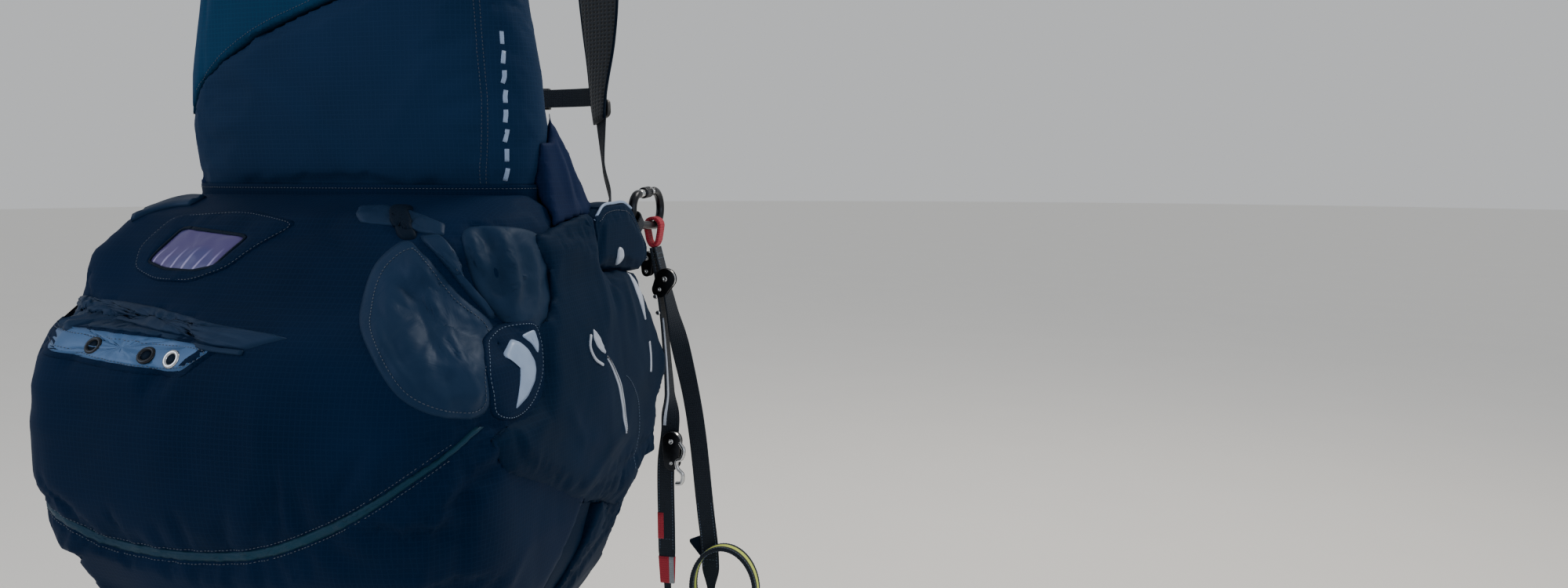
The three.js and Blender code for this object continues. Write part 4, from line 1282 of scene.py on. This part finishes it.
cover_piping = tube("cover_piping_right", cover_rim / 1000, 0.0017, pale_patch)
both(cover_piping, slot="pale_reflective")
stitch(landed(side_skin, 90, [(-196, -196), (-184, -203), (-152, -234), (-146, -250), (-145, -296),
                              (-150, -318)]), twin=True)
stitch(landed(side_skin, 90, [(-204, -16), (-186, -8), (-146, -6), (-112, -14), (-72, -54)]), thread="dark",
       twin=True)


def oval(u, z, wide, high, steps=28):
    return [(u + wide * math.cos(2 * math.pi * k / steps), z + high * math.sin(2 * math.pi * k / steps))
            for k in range(steps)]


badge = sewn("cover_badge_right", skin_of(cover), 90, oval(-155, -60, 8, 11), silver_tape, thick=2.4,
             crown=0.8, rings=8, around=40)
both(badge, slot="pale_reflective")
print("side details done, seams so far:", {key: len(lines) for key, lines in seams.items()})

# %% [markdown]
# ## Straps of the wearer's front
# Shoulder straps are mesh over thin foam, bound at the edges, with the webbing that carries the load
# sewn along them. Below the pad only the webbing goes on, through an adjuster, into the loop cover. The
# chest strap and the leg straps are plain webbing with moulded buckles. Each follows the solids' route.

# %% Shoulder straps
SHOULDER = [((88, -232, 452), (1, 0, 0)), ((93, -170, 492), (1, 0, 0)), ((103, -80, 508), (1, 0, 0)),
            ((108, 5, 474), (1, 0, 0)), ((112, 52, 392), (1, 0, 0.1)), ((118, 62, 300), (1, 0, 0.1)),
            ((124, 52, 210), (1, -0.1, 0.1)), ((128, 36, 130), (1, -0.4, 0.2)),
            ((150, 0, 45), (0.35, -0.7, 0.6)), ((180, -48, 3), (0.22, -0.51, 0.83)),
            ((192, -92, -22), (0.2, -0.42, 0.86))]
STEPS = 110  # along the whole strap
PAD_END = 80  # the step at which the pad ends
PAD_WIDE, PAD_NARROW = 58, 24
shoulder_line = strap_frames(SHOULDER, STEPS)


def eased(value, start, span):
    """0 before the start, 1 after the span, and a smooth rise between them."""
    s = min(1, max(0, (value - start) / span))
    return s * s * (3 - 2 * s)


def pad_width(share):
    return PAD_WIDE - (PAD_WIDE - PAD_NARROW) * eased(share * PAD_END / STEPS, 0.5, 0.24)


shoulder_pad = band("shoulder_pad_right", shoulder_line[:PAD_END + 1], pad_width, 9, black_mesh, shape=PADDED)
for piece in both(shoulder_pad, "harness", "shoulder_strap_right", slot="black_mesh"):
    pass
for side, tag in ((1, "outer"), (-1, "inner")):
    edge = [(at + across * side * (pad_width(i / PAD_END) / 2 - 0.6)) / 1000
            for i, (at, _, across, _) in enumerate(shoulder_line[:PAD_END + 1])]
    both(tube(f"shoulder_binding_{tag}_right", edge, 0.0022, hem_binding), slot="black_webbing")
shoulder_webbing = band("shoulder_webbing_right", shoulder_line, 22, 2.4, black_webbing,
                        lift=lambda t: -5.2 * min(1, max(0, (0.8 - t) / 0.12)))
both(shoulder_webbing, slot="black_webbing")
for shift in (-9, 9):
    stitch(along(shoulder_line, shift, -6.7, 0.02, 0.68), twin=True)

# %% Chest strap
CHEST = [((s * 126, 80 - 34 * s * s, 140), (0, 0, 1)) for s in (-1, -0.6, 0, 0.6, 1)]
chest_line = strap_frames(CHEST, 60)
chest = band("chest_webbing", chest_line, 25, 2.4, black_webbing)
belongs(chest, "harness", "chest_strap", slot="black_webbing")
for shift in (-10, 10):
    for start, end in ((0.03, 0.3), (0.7, 0.97)):
        stitch(along(chest_line, shift, -1.5, start, end))

# %% Leg straps
LEG = [((190.2, -112, -92), (0, 1, 0.2)), ((176, -10, -125), (0.2, 0.8, 0.9)),
       ((125, 62, -175), (0.9, -0.3, 0.4)), ((75, 32, -270), (0.9, -0.5, 0)), ((48, -60, -350), (1, -0.2, 0)),
       ((42, -160, -400), (1, 0, 0)), ((42, -282.4, -420), (1, 0, 0))]
leg_line = strap_frames(LEG, 90)
leg = band("leg_webbing_right", leg_line, 40, 2.6, black_webbing)
both(leg, "harness", "leg_strap_right", slot="black_webbing")
for shift in (-16, 16):
    for lift in (1.6, -1.6):
        stitch(along(leg_line, shift, lift, 0.5, 0.98), twin=True)

# %% Grab handle
HANDLE = [((side * 55, -218, 452 + drop + top * 26), (0, 1, 0))
          for side, drop, top in ((-1, -34, 0), (-1, 0, 0), (0, 0, 1), (1, 0, 0), (1, -34, 0))]
handle_line = strap_frames(HANDLE, 60)


def grip_width(share):
    return 22 - 6 * max(0.0, 1 - abs(share - 0.5) * 5) ** 0.5


handle = band("grab_handle_webbing", handle_line, grip_width, 5, black_webbing, shape=PADDED)
belongs(handle, "harness", "grab_handle", slot="black_webbing")
lengths = [round(length_of([f[0] for f in line])) for line in (shoulder_line, chest_line, leg_line)]
print("strap lengths:", lengths, "mm")

# %% [markdown]
# ## Buckles
# Buckles are moulded in acetal: a flat body with round edges, ribs for the thumb and a steel tongue or
# bar where the load goes through. A plate with rounded edges, cut to an outline, is enough for them.

# %% A plate with rounded edges
def slab(name, outline, place, along_axis, across_axis, thick, finish, edge=0.8, around=48, hole=None):
    """The outline is in mm in the plane of two axes; the plate is as thick on one side as on the other."""
    u, v = Vector(along_axis).normalized(), Vector(across_axis).normalized()
    up = u.cross(v)
    place = Vector(place)
    half = thick / 2
    rows = [(edge, -half), (edge * 0.3, -half + edge * 0.3), (0, -half + edge), (0, half - edge),
            (edge * 0.3, half - edge * 0.3), (edge, half)]
    points, faces = [], []

    def wall(line, sign):
        flat = evenly(line, around, closed=True)
        turn = np.roll(flat, -1, axis=0) - np.roll(flat, 1, axis=0)
        turn /= np.maximum(np.linalg.norm(turn, axis=1, keepdims=True), 1e-6)
        area = float(np.sum(flat[:, 0] * np.roll(flat[:, 1], -1) - np.roll(flat[:, 0], -1) * flat[:, 1]))
        inward = np.stack([-turn[:, 1], turn[:, 0]], axis=1) * (1 if area > 0 else -1) * sign
        start = len(points)
        for inset, height in rows:
            points.extend((place + (u * p[0] + v * p[1] + up * height)) / 1000 for p in flat + inward * inset)
        faces.extend(ring_faces(len(rows), around, start))
        return start

    outer = wall(outline, 1)
    top = (len(rows) - 1) * around
    if hole:
        inner = wall(hole, -1)
        faces.extend(between(outer, inner, around) + between(outer + top, inner + top, around))
    else:
        faces.extend(end_faces(len(rows), around))
    piece = closed_piece(name, points, faces, finish)
    piece.data.set_sharp_from_angle(angle=math.radians(50))
    return piece


def box_line(long, wide, corner=0.18, u=0.0, v=0.0):
    """A rectangle with round corners, its middle at u and v."""
    corners = ((-1, -1), (1, -1), (1, 1), (-1, 1))
    return cut_corners([(u + a * long / 2, v + b * wide / 2) for a, b in corners], corner)


# %% Chest buckle
at, run, across, face = chest_line[30]
middle = at - face * 6.8
SOCKET = [(-31, -17), (-8, -17), (2, -15), (6, -12), (6, 12), (2, 15), (-8, 17), (-31, 17)]
socket = slab("chest_buckle_socket", SOCKET, middle, run, across, 10, black_acetal, edge=1.6,
              hole=box_line(5, 24, 0.12, u=-25))
PLUG = [(7, -12), (11, -16), (20, -15), (31, -15), (31, 15), (20, 15), (11, 16), (7, 12)]
plug = slab("chest_buckle_plug", PLUG, middle, run, across, 8, black_acetal, edge=1.4,
            hole=box_line(5, 22, 0.12, u=25))
belongs(socket, "harness", "chest_buckle", slot="black_plastic")
belongs(plug, "harness", slot="black_plastic")
latches = [slab("latch", box_line(13, 3.4, 0.2, u=-4, v=side * 15.4), middle - face * 0.2, run, across, 6,
                black_acetal, edge=0.8) for side in (-1, 1)]
belongs(joined("chest_buckle_latches", latches), "harness", slot="black_plastic")

# %% Leg buckles
leg_buckle_frame = strap_frames(LEG, 40)[14]
at, run, across, face = leg_buckle_frame
middle = at + face * 6.4
BODY = [(-19, -22), (-14, -25), (12, -25), (19, -20), (19, 20), (12, 25), (-14, 25), (-19, 22)]
body_plate = slab("leg_buckle_body_right", BODY, middle, run, across, 9, black_acetal, edge=2.0,
                  hole=box_line(7, 34, 0.12, u=-11))
both(body_plate, "harness", "leg_buckle_right", slot="black_plastic")
tongue = slab("leg_buckle_tongue_right", box_line(22, 40, 0.16, u=13), middle + face * 3.6, run, across, 2.2,
              stainless, edge=0.7, hole=box_line(6, 28, 0.12, u=17))
both(tongue, slot="steel")
bar_ends = [(middle + run * -11 + across * side * 19) / 1000 for side in (-1, 1)]
both(tube("leg_buckle_bar_right", np.linspace(*bar_ends, 8), 0.0022, stainless), slot="steel")

# %% Shoulder adjusters
at, run, across, face = shoulder_line[78]
middle = at - face * 5.5
adjuster = slab("shoulder_adjuster_right", box_line(26, 32, 0.16), middle, run, across, 6, black_acetal,
                edge=1.3, hole=box_line(16, 23, 0.14))
both(adjuster, slot="black_plastic")
cross_bar = [(middle + across * v) / 1000 for v in np.linspace(-13, 13, 8)]
both(tube("adjuster_bar_right", cross_bar, 0.0022, black_acetal), slot="black_plastic")

# %% [markdown]
# ## Carabiners
# A steel-gated carabiner hangs at each side. Its bow is a forged bar, bent to two baskets: the loop from
# the harness sits in the rear one, the riser in the front one. The gate closes the top under a sleeve
# that turns, fluted for the fingers. Each is symmetric enough to be mirrored.

# %% Round bars and their ends
def rounded_ends(path, radius, steps=4):
    """The path in metres with half a ball at each end, and the radius at each of its points."""
    path = [Vector(p) for p in path]
    before = (path[0] - path[1]).normalized()
    after = (path[-1] - path[-2]).normalized()
    arcs = [math.radians(85 * k / steps) for k in range(1, steps + 1)]
    head = [path[0] + before * radius * math.sin(a) for a in arcs]
    tail = [path[-1] + after * radius * math.sin(a) for a in arcs]
    thin = [radius * math.cos(a) for a in arcs]
    return head[::-1] + path + tail, thin[::-1] + [radius] * len(path) + thin


def arc_line(u, v, radius, start, end, steps):
    angles = [math.radians(start + (end - start) * k / steps) for k in range(steps + 1)]
    return [(u + radius * math.cos(a), v + radius * math.sin(a)) for a in angles]


# %% Bow of the carabiner
HANG_X = 212
BAR = 5.5  # radius of the bow's bar
bow = [(HANG_X / 1000, y / 1000, z / 1000) for y, z in
       arc_line(-32, -10, 20, 88, 270, 26) + arc_line(22, -10, 23, 270, 460, 30)]
bow_path, bow_radius = rounded_ends(bow, BAR / 1000)
carabiner = tube("carabiner_bow_right", bow_path, bow_radius, dark_anodised, sides=20)
both(carabiner, "carabiner_right", "carabiner_right", slot="anodised_aluminium")
rivets = [turned("rivet", [(2.4, -0.8), (2.2, 0.3), (1.4, 0.8), (0.1, 0.9)],
                 (HANG_X / 1000 + side * 0.0052, 12 / 1000, 12.5 / 1000), (side, 0, 0), stainless, sides=16)
          for side in (1, -1)]
both(joined("carabiner_rivets_right", rivets), "carabiner_right", slot="steel")

# %% Gate and its sleeve
GATE_AXIS = (0, -math.cos(math.radians(3)), -math.sin(math.radians(3)))
GATE_PIN = (HANG_X / 1000, 0.012, 0.0125)
BARREL = [(0.2, -5.2), (2, -4.8), (3.7, -3.7), (4.8, -2), (5.2, 0), (5.2, 7.4), (5.2, 29), (5.2, 37),
          (4.8, 39), (3.7, 40.7), (2, 41.8), (0.2, 42.2)]
gate = turned("gate_barrel_right", BARREL, GATE_PIN, GATE_AXIS, stainless)
both(gate, "gate_right", "carabiner_gate_right", slot="steel")
SLEEVE = [(5.3, 7.8), (6.9, 8.2), (7.3, 9), (7.3, 11), (6.9, 11.6), (6.9, 24.8), (7.3, 25.4), (7.3, 27.4),
          (6.9, 28.2), (5.3, 28.6)]
sleeve = turned("gate_sleeve_right", SLEEVE, GATE_PIN, GATE_AXIS, dark_anodised, sides=32)
both(sleeve, "gate_right", slot="anodised_aluminium")

# %% Loops of webbing in the baskets
def loop_frames(place, basket, length, tilt):
    """A closed loop round the bar of a basket; tilt turns it about the bar, in degrees."""
    top = BAR + 1.2 - math.sqrt(basket**2 - 64) - 8.5
    bottom = 8.5 - length
    tail = [(0.0, -length - 1.5)]
    flat = tail + arc_line(0, bottom, 10, 300, 360, 6) + arc_line(0, top, 10, 0, 180, 16)
    flat += arc_line(0, bottom, 10, 180, 240, 6) + tail
    a = math.radians(tilt)
    path = []
    for u, w in smooth_line(flat, 90):
        low = min(1, max(0, (top - w) / (top + length)))
        path.append(np.array([u * (1 - 0.45 * low), -w * math.sin(a), w * math.cos(a)]) + place)
    return frames_of(np.array(path), np.tile([0, math.cos(a), math.sin(a)], (len(path), 1)))


hang_frames = loop_frames(np.array([HANG_X, -32, -10]), 20, 62, -45)
hang_loop = band("hang_loop_webbing_right", hang_frames, 16, 2.6, black_webbing)
both(hang_loop, "harness", "hang_loop_right", slot="black_webbing")
riser_frames = loop_frames(np.array([HANG_X, 22, -10]), 23, 49, 0)
riser_loop = band("riser_loop_webbing_right", riser_frames, 17, 4.4, red_webbing)
both(riser_loop, "riser_right", "riser_loop_right", slot="red_webbing")
print("carabiner and loops done")

# %% [markdown]
# ## Risers
# Two bands of webbing hang from each carabiner and turn to face the rear as they go down. Each ends in a
# small sewn eye with a link, where the lines are tied. The front one carries a red tag and a striped
# sleeve, and on the rear one are the pulley of the brake line and the brake handle.

# %% Riser bands
RISER_TOP, RISER_END = -62.6, -545
EYE = 4.45  # radius of the sewn eye
EYE_DROP = 4.5  # from the riser's end down to the middle of its eye
RISER_STEPS = 120
FRONT_RISER = [(RISER_TOP, 210.5, 0), (-95, 216, 0), (-150, 223, 0), (-206, 227, 0), (-262, 230, 0.1),
               (-310, 230, 0.9), (-360, 223, 1), (-450, 222, 1), (RISER_END, 222, 1)]
REAR_RISER = [(RISER_TOP + 0.7, 216, 0), (-95, 224, 0), (-150, 236, 0.2), (-206, 249, 0.8), (-262, 261, 1),
              (-315, 269, 1), (-420, 279, 1), (-480, 285, 1), (RISER_END, 286, 1)]
red_striped = webbing_finish("red webbing with a grey stripe, woven", "#861a2a", "#b53345",
                             stripe=(0.007, 0.0035, "#8c939b"))


def riser_line(table):
    stops = [((x, 22 + 8 * (RISER_TOP - z) / (RISER_TOP - RISER_END), z),
              (math.sin(turn * math.pi / 2), math.cos(turn * math.pi / 2), 0)) for z, x, turn in table]
    return strap_frames(stops, RISER_STEPS)


def riser_width(share):
    return 25 - 15 * eased(share, 0.92, 0.07)


front_line, rear_line = riser_line(FRONT_RISER), riser_line(REAR_RISER)
for tag, line in (("front", front_line), ("rear", rear_line)):
    strap = band(f"riser_{tag}_webbing_right", line, riser_width, 2.6, black_webbing)
    both(strap, "riser_right", f"riser_{tag}_right", slot="black_webbing")
    x, y, z = line[-1][0]
    ring = [np.array([x, y + EYE * math.sin(a), z - EYE_DROP + EYE * math.cos(a)])
            for a in np.linspace(0, 2 * math.pi, 25)]
    eye_frames = frames_of(ring, np.tile([1.0, 0, 0], (25, 1)))
    eye = band(f"riser_{tag}_eye_right", eye_frames, 10, 2.0, black_webbing)
    both(eye, "riser_right", slot="black_webbing")
    for shift in (-9.5, 9.5):
        for lift in (-1.6, 1.6):
            for start, end in ((0.01, 0.14), (0.74, 0.92)):
                stitch(along(line, shift, lift, start, end), "riser_right", twin=True)
    for share in (0.03, 0.06, 0.13, 0.9):  # rows across the riser
        at, _, across, face = line[round(share * RISER_STEPS)]
        for lift in (-1.6, 1.6):
            stitch([(at + across * v + face * lift) / 1000 for v in (-9, 0, 9)], "riser_right", twin=True)

edge_tape = band("riser_edge_tape_right", front_line[32:75], 4, 1.2, silver_tape, shift=-7.5, lift=1.7)
both(edge_tape, "riser_right", slot="pale_reflective")
tag_band = band("riser_tag_right", front_line[102:109], 9, 3.8, red_webbing, shift=-8.2)
both(tag_band, "riser_right", slot="red_webbing")
striped = band("riser_sleeve_right", front_line[112:119], lambda t: 25 - 4 * t, 4.6, red_striped)
both(striped, "riser_right", slot="red_webbing")
at, run, across, face = rear_line[103]
THREE_CORNERS = [(-14, -1), (22, 2), (-6, 22)]
riser_tab = slab("riser_tab_right", cut_corners(THREE_CORNERS, 0.12), at - across * 10 - face * 2.4, run,
                 -across, 1.6, hem_binding, edge=0.5)
both(riser_tab, "riser_right", slot="black_webbing")

# %% Links
LINK_HALF = 9.5  # half the link's width, and the radius of its lower end
NUT = [(2.5, -7.5), (3.9, -7.2), (4.3, -6.6), (4.3, 6.6), (3.9, 7.2), (2.5, 7.5)]
for tag, line in (("front", front_line), ("rear", rear_line)):
    x, y, z = line[-1][0]
    top = z - EYE_DROP
    flat = arc_line(5.5, -4, 4, 0, 90, 6) + arc_line(-5.5, -4, 4, 90, 180, 6)
    flat += arc_line(0, LINK_HALF - 36, LINK_HALF, 180, 360, 18)
    ring = evenly([((x + u) / 1000, y / 1000, (top + w) / 1000) for u, w in flat], 56, closed=True)
    link = tube(f"link_{tag}_bar_right", ring, 0.0024, stainless, closed=True, sides=12)
    both(link, "riser_right", f"link_{tag}_right", slot="steel")
    nut = turned(f"link_{tag}_nut_right", NUT, ((x + LINK_HALF) / 1000, y / 1000, (top - 15) / 1000),
                 (0, 0, 1), stainless, sides=6)
    nut.data.shade_flat()
    both(nut, "riser_right", slot="steel")

# %% Pulleys
def pulley(name, x, y, z, radius, thick, length, solids=(), tilt=0.0):
    """Two cheeks, a grooved wheel on a bolt, and a spacer bolt below; turned by tilt about its bolt."""
    line = arc_line(0, 0, radius, 0, 180, 14) + arc_line(0, -length, radius * 0.8, 180, 360, 12)
    a = math.radians(tilt)
    right, up = Vector((math.cos(a), 0, math.sin(a))), Vector((-math.sin(a), 0, math.cos(a)))
    middle = Vector((x, y, z))
    cheeks = [slab(f"{name}_cheek", line, middle + Vector((0, side * (thick / 2 - 1), 0)), right, up, 2.0,
                   dark_anodised, edge=0.6) for side in (-1, 1)]
    both(joined(f"{name}_cheeks_right", cheeks), "riser_right", *solids, slot="dark_metal")
    shares = ((0.95, -0.3), (0.92, -0.2), (0.72, 0), (0.92, 0.2), (0.95, 0.3))
    groove = [(radius * r, thick * t) for r, t in shares]
    wheel = turned(f"{name}_wheel_right", groove, middle / 1000, (0, 1, 0), stainless, sides=28)
    both(wheel, "riser_right", slot="steel")
    heads = []
    for spot, size in ((middle, 3.6), (middle - up * length, 2.6)):
        head = [(size, -0.6), (size, 0.5), (size * 0.8, 1.2), (size * 0.45, 1.3), (size * 0.4, 0.7)]
        for side in (-1, 1):
            place = (spot + Vector((0, side * thick / 2, 0))) / 1000
            heads.append(turned(f"{name}_head", head, place, (0, side, 0), stainless, sides=18))
    both(joined(f"{name}_bolts_right", heads), "riser_right", slot="steel")


pulley("speed_pulley", 202.2, 22, -77, 9, 12, 18, ["speed_pulley_right"])
pulley("upper_pulley", 231, 14, -104, 14, 10, 16, tilt=-28)
pulley("brake_pulley", 236, 17.7, -326, 13, 12, 30, ["brake_pulley_right"])
hook = smooth_line([(249, 12, -328), (255, 10, -336), (252, 9, -348), (245, 10, -352), (246, 10, -362),
                    (253, 10, -370), (251, 11, -382), (244, 12, -384)], 60) / 1000
hook_path, hook_radius = rounded_ends(hook, 0.0028)
both(tube("brake_hook_right", hook_path, hook_radius, stainless, sides=12), "riser_right", slot="steel")
STUD = [(3.4, -0.5), (3.4, 0.9), (2.6, 1.8), (1.2, 2.1)]
studs = [turned("stud", STUD, (x / 1000 - 0.002, 0.0105, z / 1000), (0, -1, 0), stainless, sides=18)
         for x, z in ((219, -128), (222.5, -150))]
both(joined("riser_studs_right", studs), "riser_right", slot="steel")

# %% Brake handle
wide, high = 45, 57  # half the handle's width and height
ellipse = [np.array([310 + wide * math.sin(a), 15.8, -526 - high * math.cos(a)])
           for a in np.linspace(0, 2 * math.pi, 91)]
grip_line = frames_of(ellipse, np.tile([0, 1.0, 0], (91, 1)))
grip = band("brake_handle_webbing_right", grip_line, 22, 5, handle_webbing)
both(grip, "riser_right", "brake_handle_right", slot="lime_webbing")
for shift in (-9.3, 9.3):
    for lift in (2.7, -2.7):
        stitch(along(grip_line, shift, lift), "riser_right", twin=True)

# %% [markdown]
# ## Sewing every seam with nodes
# A node tree turns each collected line into stitches: the line becomes a curve, is cut into equal
# steps, and a small ball, drawn long along the seam, is set at each step. The same tree makes the teeth
# of the zip and the ribs of the buckles, with other sizes.

# %% The start and the end that both node trees share
SOCKETS = {float: "NodeSocketFloat", int: "NodeSocketInt", tuple: "NodeSocketVector"}


def new_tree(title, **inputs):
    """A tree with these inputs, a mesh before them and a finish after them, and the node's sockets."""
    tree = bpy.data.node_groups.new(title, "GeometryNodeTree")
    face = tree.interface
    face.new_socket("Geometry", in_out="INPUT", socket_type="NodeSocketGeometry")
    for key, value in inputs.items():
        kind = SOCKETS[type(value)]
        face.new_socket(key.replace("_", " "), in_out="INPUT", socket_type=kind).default_value = value
    face.new_socket("Finish", in_out="INPUT", socket_type="NodeSocketMaterial")
    face.new_socket("Geometry", in_out="OUTPUT", socket_type="NodeSocketGeometry")
    return tree, put(tree, "NodeGroupInput").outputs


def repeated(tree, points, shape, size, **more):
    """The shape at each point, drawn out to a size along x, y and z."""
    drawn = put(tree, "ShaderNodeCombineXYZ", dict(zip("XYZ", size)))
    inputs = {"Points": points, "Instance": shape, "Scale": drawn.outputs[0], **more}
    copies = put(tree, "GeometryNodeInstanceOnPoints", inputs)
    return put(tree, "GeometryNodeRealizeInstances", {"Geometry": copies.outputs[0]}).outputs[0]


def shown(tree, geometry, finish):
    dressed = put(tree, "GeometryNodeSetMaterial", {"Geometry": geometry, "Material": finish})
    put(tree, "NodeGroupOutput", {"Geometry": dressed.outputs[0]})
    return tree


def grow(piece, tree, **values):
    """Puts what the tree makes in the place of the piece's mesh."""
    nodes = piece.modifiers.new("nodes", "NODES")
    nodes.node_group = tree
    for socket in tree.interface.items_tree:
        if socket.in_out == "INPUT" and socket.name in values:
            nodes[socket.identifier] = values[socket.name]
    baked(piece)
    piece.data.shade_smooth()
    return piece


# %% Node tree: beads along a line
def bead_tree():
    tree, given = new_tree("Beads along a line", Along=0.0028, Across=0.0008, High=0.0008, Pitch=0.004,
                           Outward=(1, 0, 0))
    curve = put(tree, "GeometryNodeMeshToCurve", {"Mesh": given["Geometry"]})
    steps = put(tree, "GeometryNodeResampleCurve", {"Curve": curve.outputs[0], "Length": given["Pitch"]},
                mode="LENGTH")
    tangent = put(tree, "GeometryNodeInputTangent")
    lengthwise = put(tree, "FunctionNodeAlignRotationToVector", {"Vector": tangent.outputs[0]}, axis="Z")
    turned_out = put(tree, "FunctionNodeAlignRotationToVector",
                     {"Rotation": lengthwise.outputs[0], "Vector": given["Outward"]}, axis="X",
                     pivot_axis="Z")
    ball = put(tree, "GeometryNodeMeshIcoSphere", {"Radius": 0.5, "Subdivisions": 1})
    balls = repeated(tree, steps.outputs[0], ball.outputs["Mesh"],
                     (given["High"], given["Across"], given["Along"]), Rotation=turned_out.outputs[0])
    return shown(tree, balls, given["Finish"])


beads_along = bead_tree()


# %% Sew the lines of one body
def beads(name, lines, finish, **sizes):
    mesh = bpy.data.meshes.new(name)
    points, edges = [], []
    for line in lines:
        edges += [(len(points) + i, len(points) + i + 1) for i in range(len(line) - 1)]
        points += [tuple(p) for p in line]
    mesh.from_pydata(points, edges, [])
    return grow(link_piece(name, mesh, finish), beads_along, Finish=finish, **sizes)


threads = {"blue": blue_thread, "dark": dark_thread}
for (body, thread), lines in seams.items():
    sewn_lines = beads(f"stitches_{thread}_{body}", lines, threads[thread])
    belongs(sewn_lines, body, slot="navy_fabric" if body == "harness" else "black_webbing")
    print(sewn_lines.name, len(sewn_lines.data.polygons), "faces")

# %% Teeth of the zip and ribs of the buckles
teeth = beads("hip_zip_teeth_right", [landed(side_skin, 90, HIP_ZIP, step=2, lift=1.1)], dark_anodised,
              Along=0.0013, Across=0.004, High=0.0014, Pitch=0.0021)
both(teeth, slot="dark_metal")
at, run, across, face = leg_buckle_frame
ribs = [[(at + face * 11.0 + run * u + across * v) / 1000 for v in (-16, 0, 16)] for u in (0, 3.5, 7)]
rib_rows = beads("leg_buckle_ribs_right", ribs, black_acetal, Along=0.0035, Across=0.0016, High=0.0012,
                 Pitch=0.0021)
both(rib_rows, slot="black_plastic")


# %% Node tree: flutes round a sleeve
def flute_tree():
    tree, given = new_tree("Flutes round a sleeve", Radius=0.0069, Flute_width=0.0011, Flute_length=0.012,
                           Count=18, Place=(0, 0, 0), Turn=(0, 0, 0))
    circle = put(tree, "GeometryNodeMeshCircle", {"Vertices": given["Count"], "Radius": given["Radius"]})
    rod = put(tree, "GeometryNodeMeshIcoSphere", {"Radius": 0.5, "Subdivisions": 2})
    rods = repeated(tree, circle.outputs[0], rod.outputs["Mesh"],
                    (given["Flute width"], given["Flute width"], given["Flute length"]))
    placed = put(tree, "GeometryNodeTransform",
                 {"Geometry": rods, "Translation": given["Place"], "Rotation": given["Turn"]})
    return shown(tree, placed.outputs[0], given["Finish"])


# %% Flute the gates' sleeves
SLEEVE_MIDDLE = 0.0182  # from the gate's pin along its axis
flutes = link_piece("gate_flutes_right", bpy.data.meshes.new("gate_flutes_right"), dark_anodised)
grow(flutes, flute_tree(), Place=[GATE_PIN[k] + SLEEVE_MIDDLE * GATE_AXIS[k] for k in range(3)],
     Turn=(math.radians(93), 0, 0), Finish=dark_anodised)
both(flutes, "gate_right", slot="anodised_aluminium")
print("flutes:", len(flutes.data.polygons), "faces")
